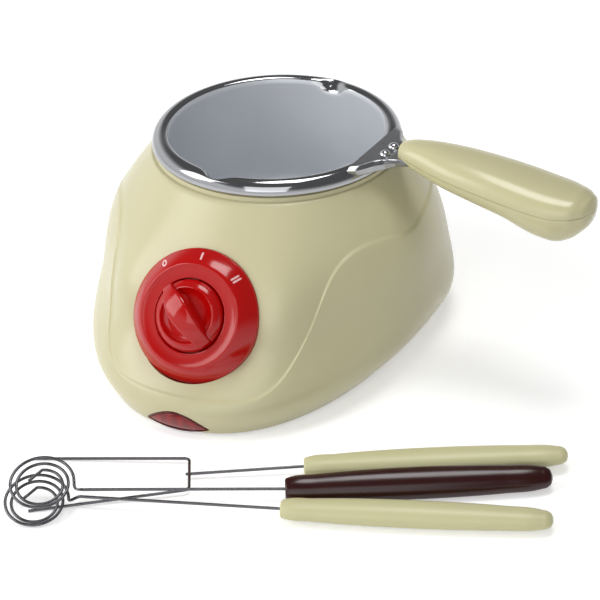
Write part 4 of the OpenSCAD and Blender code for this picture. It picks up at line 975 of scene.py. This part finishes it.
for tool, grip, finish, slot in (
        ("fork", on_tool(spindle(), FORK_AT, FORK_TURN, FORK_PITCH, FORK_Z), cream_tool, "cream_plastic"),
        ("cream_spiral", on_tool(spindle(), CREAM_AT, CREAM_TURN), cream_tool, "cream_plastic"),
        ("brown_spiral", on_tool(spindle(BROWN_ROLL), BROWN_AT, BROWN_TURN, 0, BROWN_Z), brown_tool,
         "brown_plastic")):
    solid_piece(tool + "_grip", grip, tool, finish, [tool + "_handle"], sharp=50)

# %% [markdown]
# The fork's wire is two runs. One goes from a prong's tip round both corners of the
# crossbar to the other tip. The other is the stem, which leaves the handle a little
# bent, as the photograph shows it.

# %% Fork wire
SPLAY, BEND, STEM_GAP = np.radians(6.4), 2.5, 1.2


def kicked(points):
    """Turn a point of the fork's head about its handle's mouth"""
    return spun(points, FORK_KICK)


def prong(side):
    """Route from a prong's tip to the crossbar: a straight leg and a parabola round the corner"""
    way = np.array([-np.cos(SPLAY), side * np.sin(SPLAY), 0])
    corner = np.array([-FORK_STEM, side * FORK_W / 2, 0])
    s = np.linspace(0, 1, 12)[:, None]
    leg = corner + way * np.linspace(PRONG, BEND + 1, 12)[:, None]
    return np.vstack([leg, corner + BEND * ((1 - s) ** 2 * way + s ** 2 * np.array([0, -side, 0]))])


fork_route = kicked(np.vstack([prong(-1), prong(1)[::-1]]))
stem_route = np.vstack([kicked(np.linspace((-FORK_STEM - STEM_GAP * WIRE_D, 0, 0), (-WIRE_D, 0, 0), 12)),
                        [(0, 0, 0), (WIRE_IN / 2, 0, 0), (WIRE_IN, 0, 0)]])
for name, route, stands_for in (("fork_prongs", fork_route, ["fork_wire"]), ("fork_stem", stem_route, [])):
    there = on_tool(route, FORK_AT, FORK_TURN, FORK_PITCH, FORK_Z)
    solid_piece(name, tube_grid(there, WIRE_D / 2), "fork", wire_steel, stands_for)

# %% [markdown]
# Each spiral is one wire: a stem along the table, a bend up, loops that shrink and
# sink like a flat spring, and a short tail toward the middle. Both coils lean on one
# slanting axis. The wires follow the frame's own routes, with many more rings.

# %% Spiral wires
LEAN, COIL_FACE = np.radians(17), np.radians(25)
lean_axis = np.array([np.sin(COIL_FACE) * np.sin(LEAN), -np.cos(COIL_FACE) * np.sin(LEAN), np.cos(LEAN)])
lean_x = np.array([np.cos(COIL_FACE), np.sin(COIL_FACE), 0])
lean_y = np.cross(lean_axis, lean_x)
COIL_R, COIL_LOOPS, COIL_IN, COIL_DOWN = 14.8, 2.25, 2.6, 1.2
STEM, TAIL, BEND_PULL = 90, 8, 1.2
CREAM_COIL, BROWN_COIL = np.array([-31.2, -199.2, 5.8]), np.array([-28.4, -197.7, 15.2])


def unit(v):
    """The vector v at length one"""
    return v / np.linalg.norm(v)


def spiral(at, z, heading, kick, centre):
    """Route of one spiral: the bend is a cubic between the stem's end and the coil's
    start that leaves and arrives along them, and the loops are a circle in the slanting
    plane whose radius and height fall in step with the turn"""
    inside, outside = np.radians(heading), np.radians(heading + kick)
    mouth = np.array([at[0], at[1], z])
    way = np.array([np.cos(outside), np.sin(outside), 0])
    start = mouth + WIRE_IN * np.array([np.cos(inside), np.sin(inside), 0])
    stop = mouth - STEM * way
    turn = np.linspace(0, COIL_LOOPS * 2 * np.pi, 150)[:, None]
    loops = turn / (2 * np.pi)
    round_coil = np.cos(turn) * lean_x + np.sin(turn) * lean_y
    coil = centre + (COIL_R - COIL_IN * loops) * round_coil - COIL_DOWN * loops * lean_axis
    heading_in = unit(coil[1] - coil[0])
    inward = unit(centre - COIL_DOWN * COIL_LOOPS * lean_axis - coil[-1])
    tail = unit(unit(coil[-1] - coil[-2]) + inward)
    pull = np.linalg.norm(coil[0] - stop)
    s = np.linspace(0, 1, 33)[:-1, None]
    bend = (stop * (1 + 2 * s) * (1 - s) ** 2 - pull * way * s * (1 - s) ** 2
            + coil[0] * s * s * (3 - 2 * s) + BEND_PULL * pull * heading_in * s * s * (s - 1))
    stem = np.linspace(mouth - WIRE_D * way, stop, 30)[:-1]
    end = coil[-1] + np.linspace(0.15, 1, 8)[:, None] * TAIL * tail
    return np.vstack([[start, (start + mouth) / 2, mouth], stem, bend, coil, end])


for tool, route in (("cream_spiral", spiral(CREAM_AT, TOOL_R, CREAM_TURN, CREAM_KICK, CREAM_COIL)),
                    ("brown_spiral", spiral(BROWN_AT, BROWN_Z, BROWN_TURN, BROWN_KICK, BROWN_COIL))):
    coil_grid = tube_grid(route, WIRE_D / 2)
    solid_piece(tool + "_coil", coil_grid, tool, wire_steel, [tool + "_wire"])

# %% [markdown]
# The set is a plain pale floor under soft light. Rays from the camera, and what mirrors
# and clear pieces show, meet a second floor material that glows a little. So the page
# looks white, the floor keeps the object's shadow, and no extra light falls on the
# object.

# %% Floor
FLOOR_HALF, FLOOR_ROUGH, FLOOR_GLOW = 6, 0.9, 0.45
floor_mesh = bpy.data.meshes.new("floor")
ground_corners = [(FLOOR_HALF * x, FLOOR_HALF * y, 0) for x, y in ((-1, -1), (1, -1), (1, 1), (-1, 1))]
floor_mesh.from_pydata(ground_corners, [], [(0, 1, 2, 3)])
floor = placed("floor", floor_mesh)
floor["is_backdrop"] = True
floor_shader = Shader("floor")
paper = floor_shader.blend(tone(236, 236, 236), tone(240, 240, 240), floor_shader.noise(300))
floor_shader.set(Base_Color=paper, Roughness=FLOOR_ROUGH)
bright = floor_shader.tree.nodes.new("ShaderNodeBsdfPrincipled")
floor_shader.fill(bright.inputs["Base Color"], paper)
bright.inputs["Roughness"].default_value = FLOOR_ROUGH
bright.inputs["Emission Color"].default_value = (1, 1, 1, 1)
bright.inputs["Emission Strength"].default_value = FLOOR_GLOW
mixed = floor_shader.tree.nodes.new("ShaderNodeMixShader")


def direct_view(tree):
    """1 for rays from the camera and for what mirrors and clear pieces show of the set"""
    paths = tree.nodes.new("ShaderNodeLightPath")
    seen = paths.outputs["Is Camera Ray"]
    for other in ("Is Glossy Ray", "Is Transmission Ray"):
        either = tree.nodes.new("ShaderNodeMath")
        either.operation = "MAXIMUM"
        tree.links.new(seen, either.inputs[0])
        tree.links.new(paths.outputs[other], either.inputs[1])
        seen = either.outputs[0]
    return seen


links = floor_shader.tree.links
links.new(direct_view(floor_shader.tree), mixed.inputs[0])
links.new(floor_shader.skin.outputs[0], mixed.inputs[1])
links.new(bright.outputs[0], mixed.inputs[2])
links.new(mixed.outputs[0], floor_shader.tree.nodes["Material Output"].inputs["Surface"])
floor_mesh.materials.append(floor_shader.material)
print("the floor has", len(floor_shader.tree.nodes), "nodes")

# %% [markdown]
# The world is a plain gradient, pale at the horizon and darker overhead, with a small
# slant to one side. It gives the polished steel something to mirror.

# %% World
SLANT, HORIZON, OVERHEAD = (0.22, 0.1, 1.0), 1.0, 0.16
world = bpy.data.worlds.new("studio")
bpy.context.scene.world = world
world.use_nodes = True
tree = world.node_tree
ground = tree.nodes["Background"]
way = tree.nodes.new("ShaderNodeTexCoord")
slant = tree.nodes.new("ShaderNodeVectorMath")
slant.operation = "DOT_PRODUCT"
slant.inputs[1].default_value = SLANT
tree.links.new(way.outputs["Generated"], slant.inputs[0])
fade = tree.nodes.new("ShaderNodeMapRange")
fade.interpolation_type = "SMOOTHSTEP"
tree.links.new(slant.outputs["Value"], fade.inputs["Value"])
for socket, value in (("From Min", 0.1), ("From Max", 0.5), ("To Min", HORIZON), ("To Max", OVERHEAD)):
    fade.inputs[socket].default_value = value
tree.links.new(fade.outputs[0], ground.inputs["Color"])
ground.inputs["Strength"].default_value = 1.0
print("the world fades from", HORIZON, "at the horizon to", OVERHEAD, "overhead")

# %% [markdown]
# Three square lamps light the object. A large one on the left gives the long highlight,
# a weaker one in front opens the shadows, and one from above draws the rim.

# %% Lamps
AIM = np.array([0, 0, 0.05])


def lamp(name, place, size, power):
    """Square soft lamp at place, in metres, that looks at the object's middle"""
    data = bpy.data.lights.new(name, "AREA")
    data.size, data.energy = size, power
    away = unit(np.array(place) - AIM)
    side = unit(np.cross([0, 0, 1.0], away)) if abs(away[2]) < 0.99 else np.array([1.0, 0, 0])
    matrix = np.eye(4)
    matrix[:3] = np.column_stack([side, np.cross(away, side), away, place])
    placed(name, data).matrix_world = Matrix(matrix.tolist())


lamp("key", (-0.85, -0.65, 0.75), 0.8, 6.4)
lamp("fill", (0.3, -1.2, 0.8), 0.9, 3.8)
lamp("top", (0.05, 0.15, 1.25), 0.5, 5.6)
print("three lamps look at", AIM, "m")

# %% [markdown]
# The box of the finished model is printed at the end.

# %% Size and finish
print("visual box", corners())
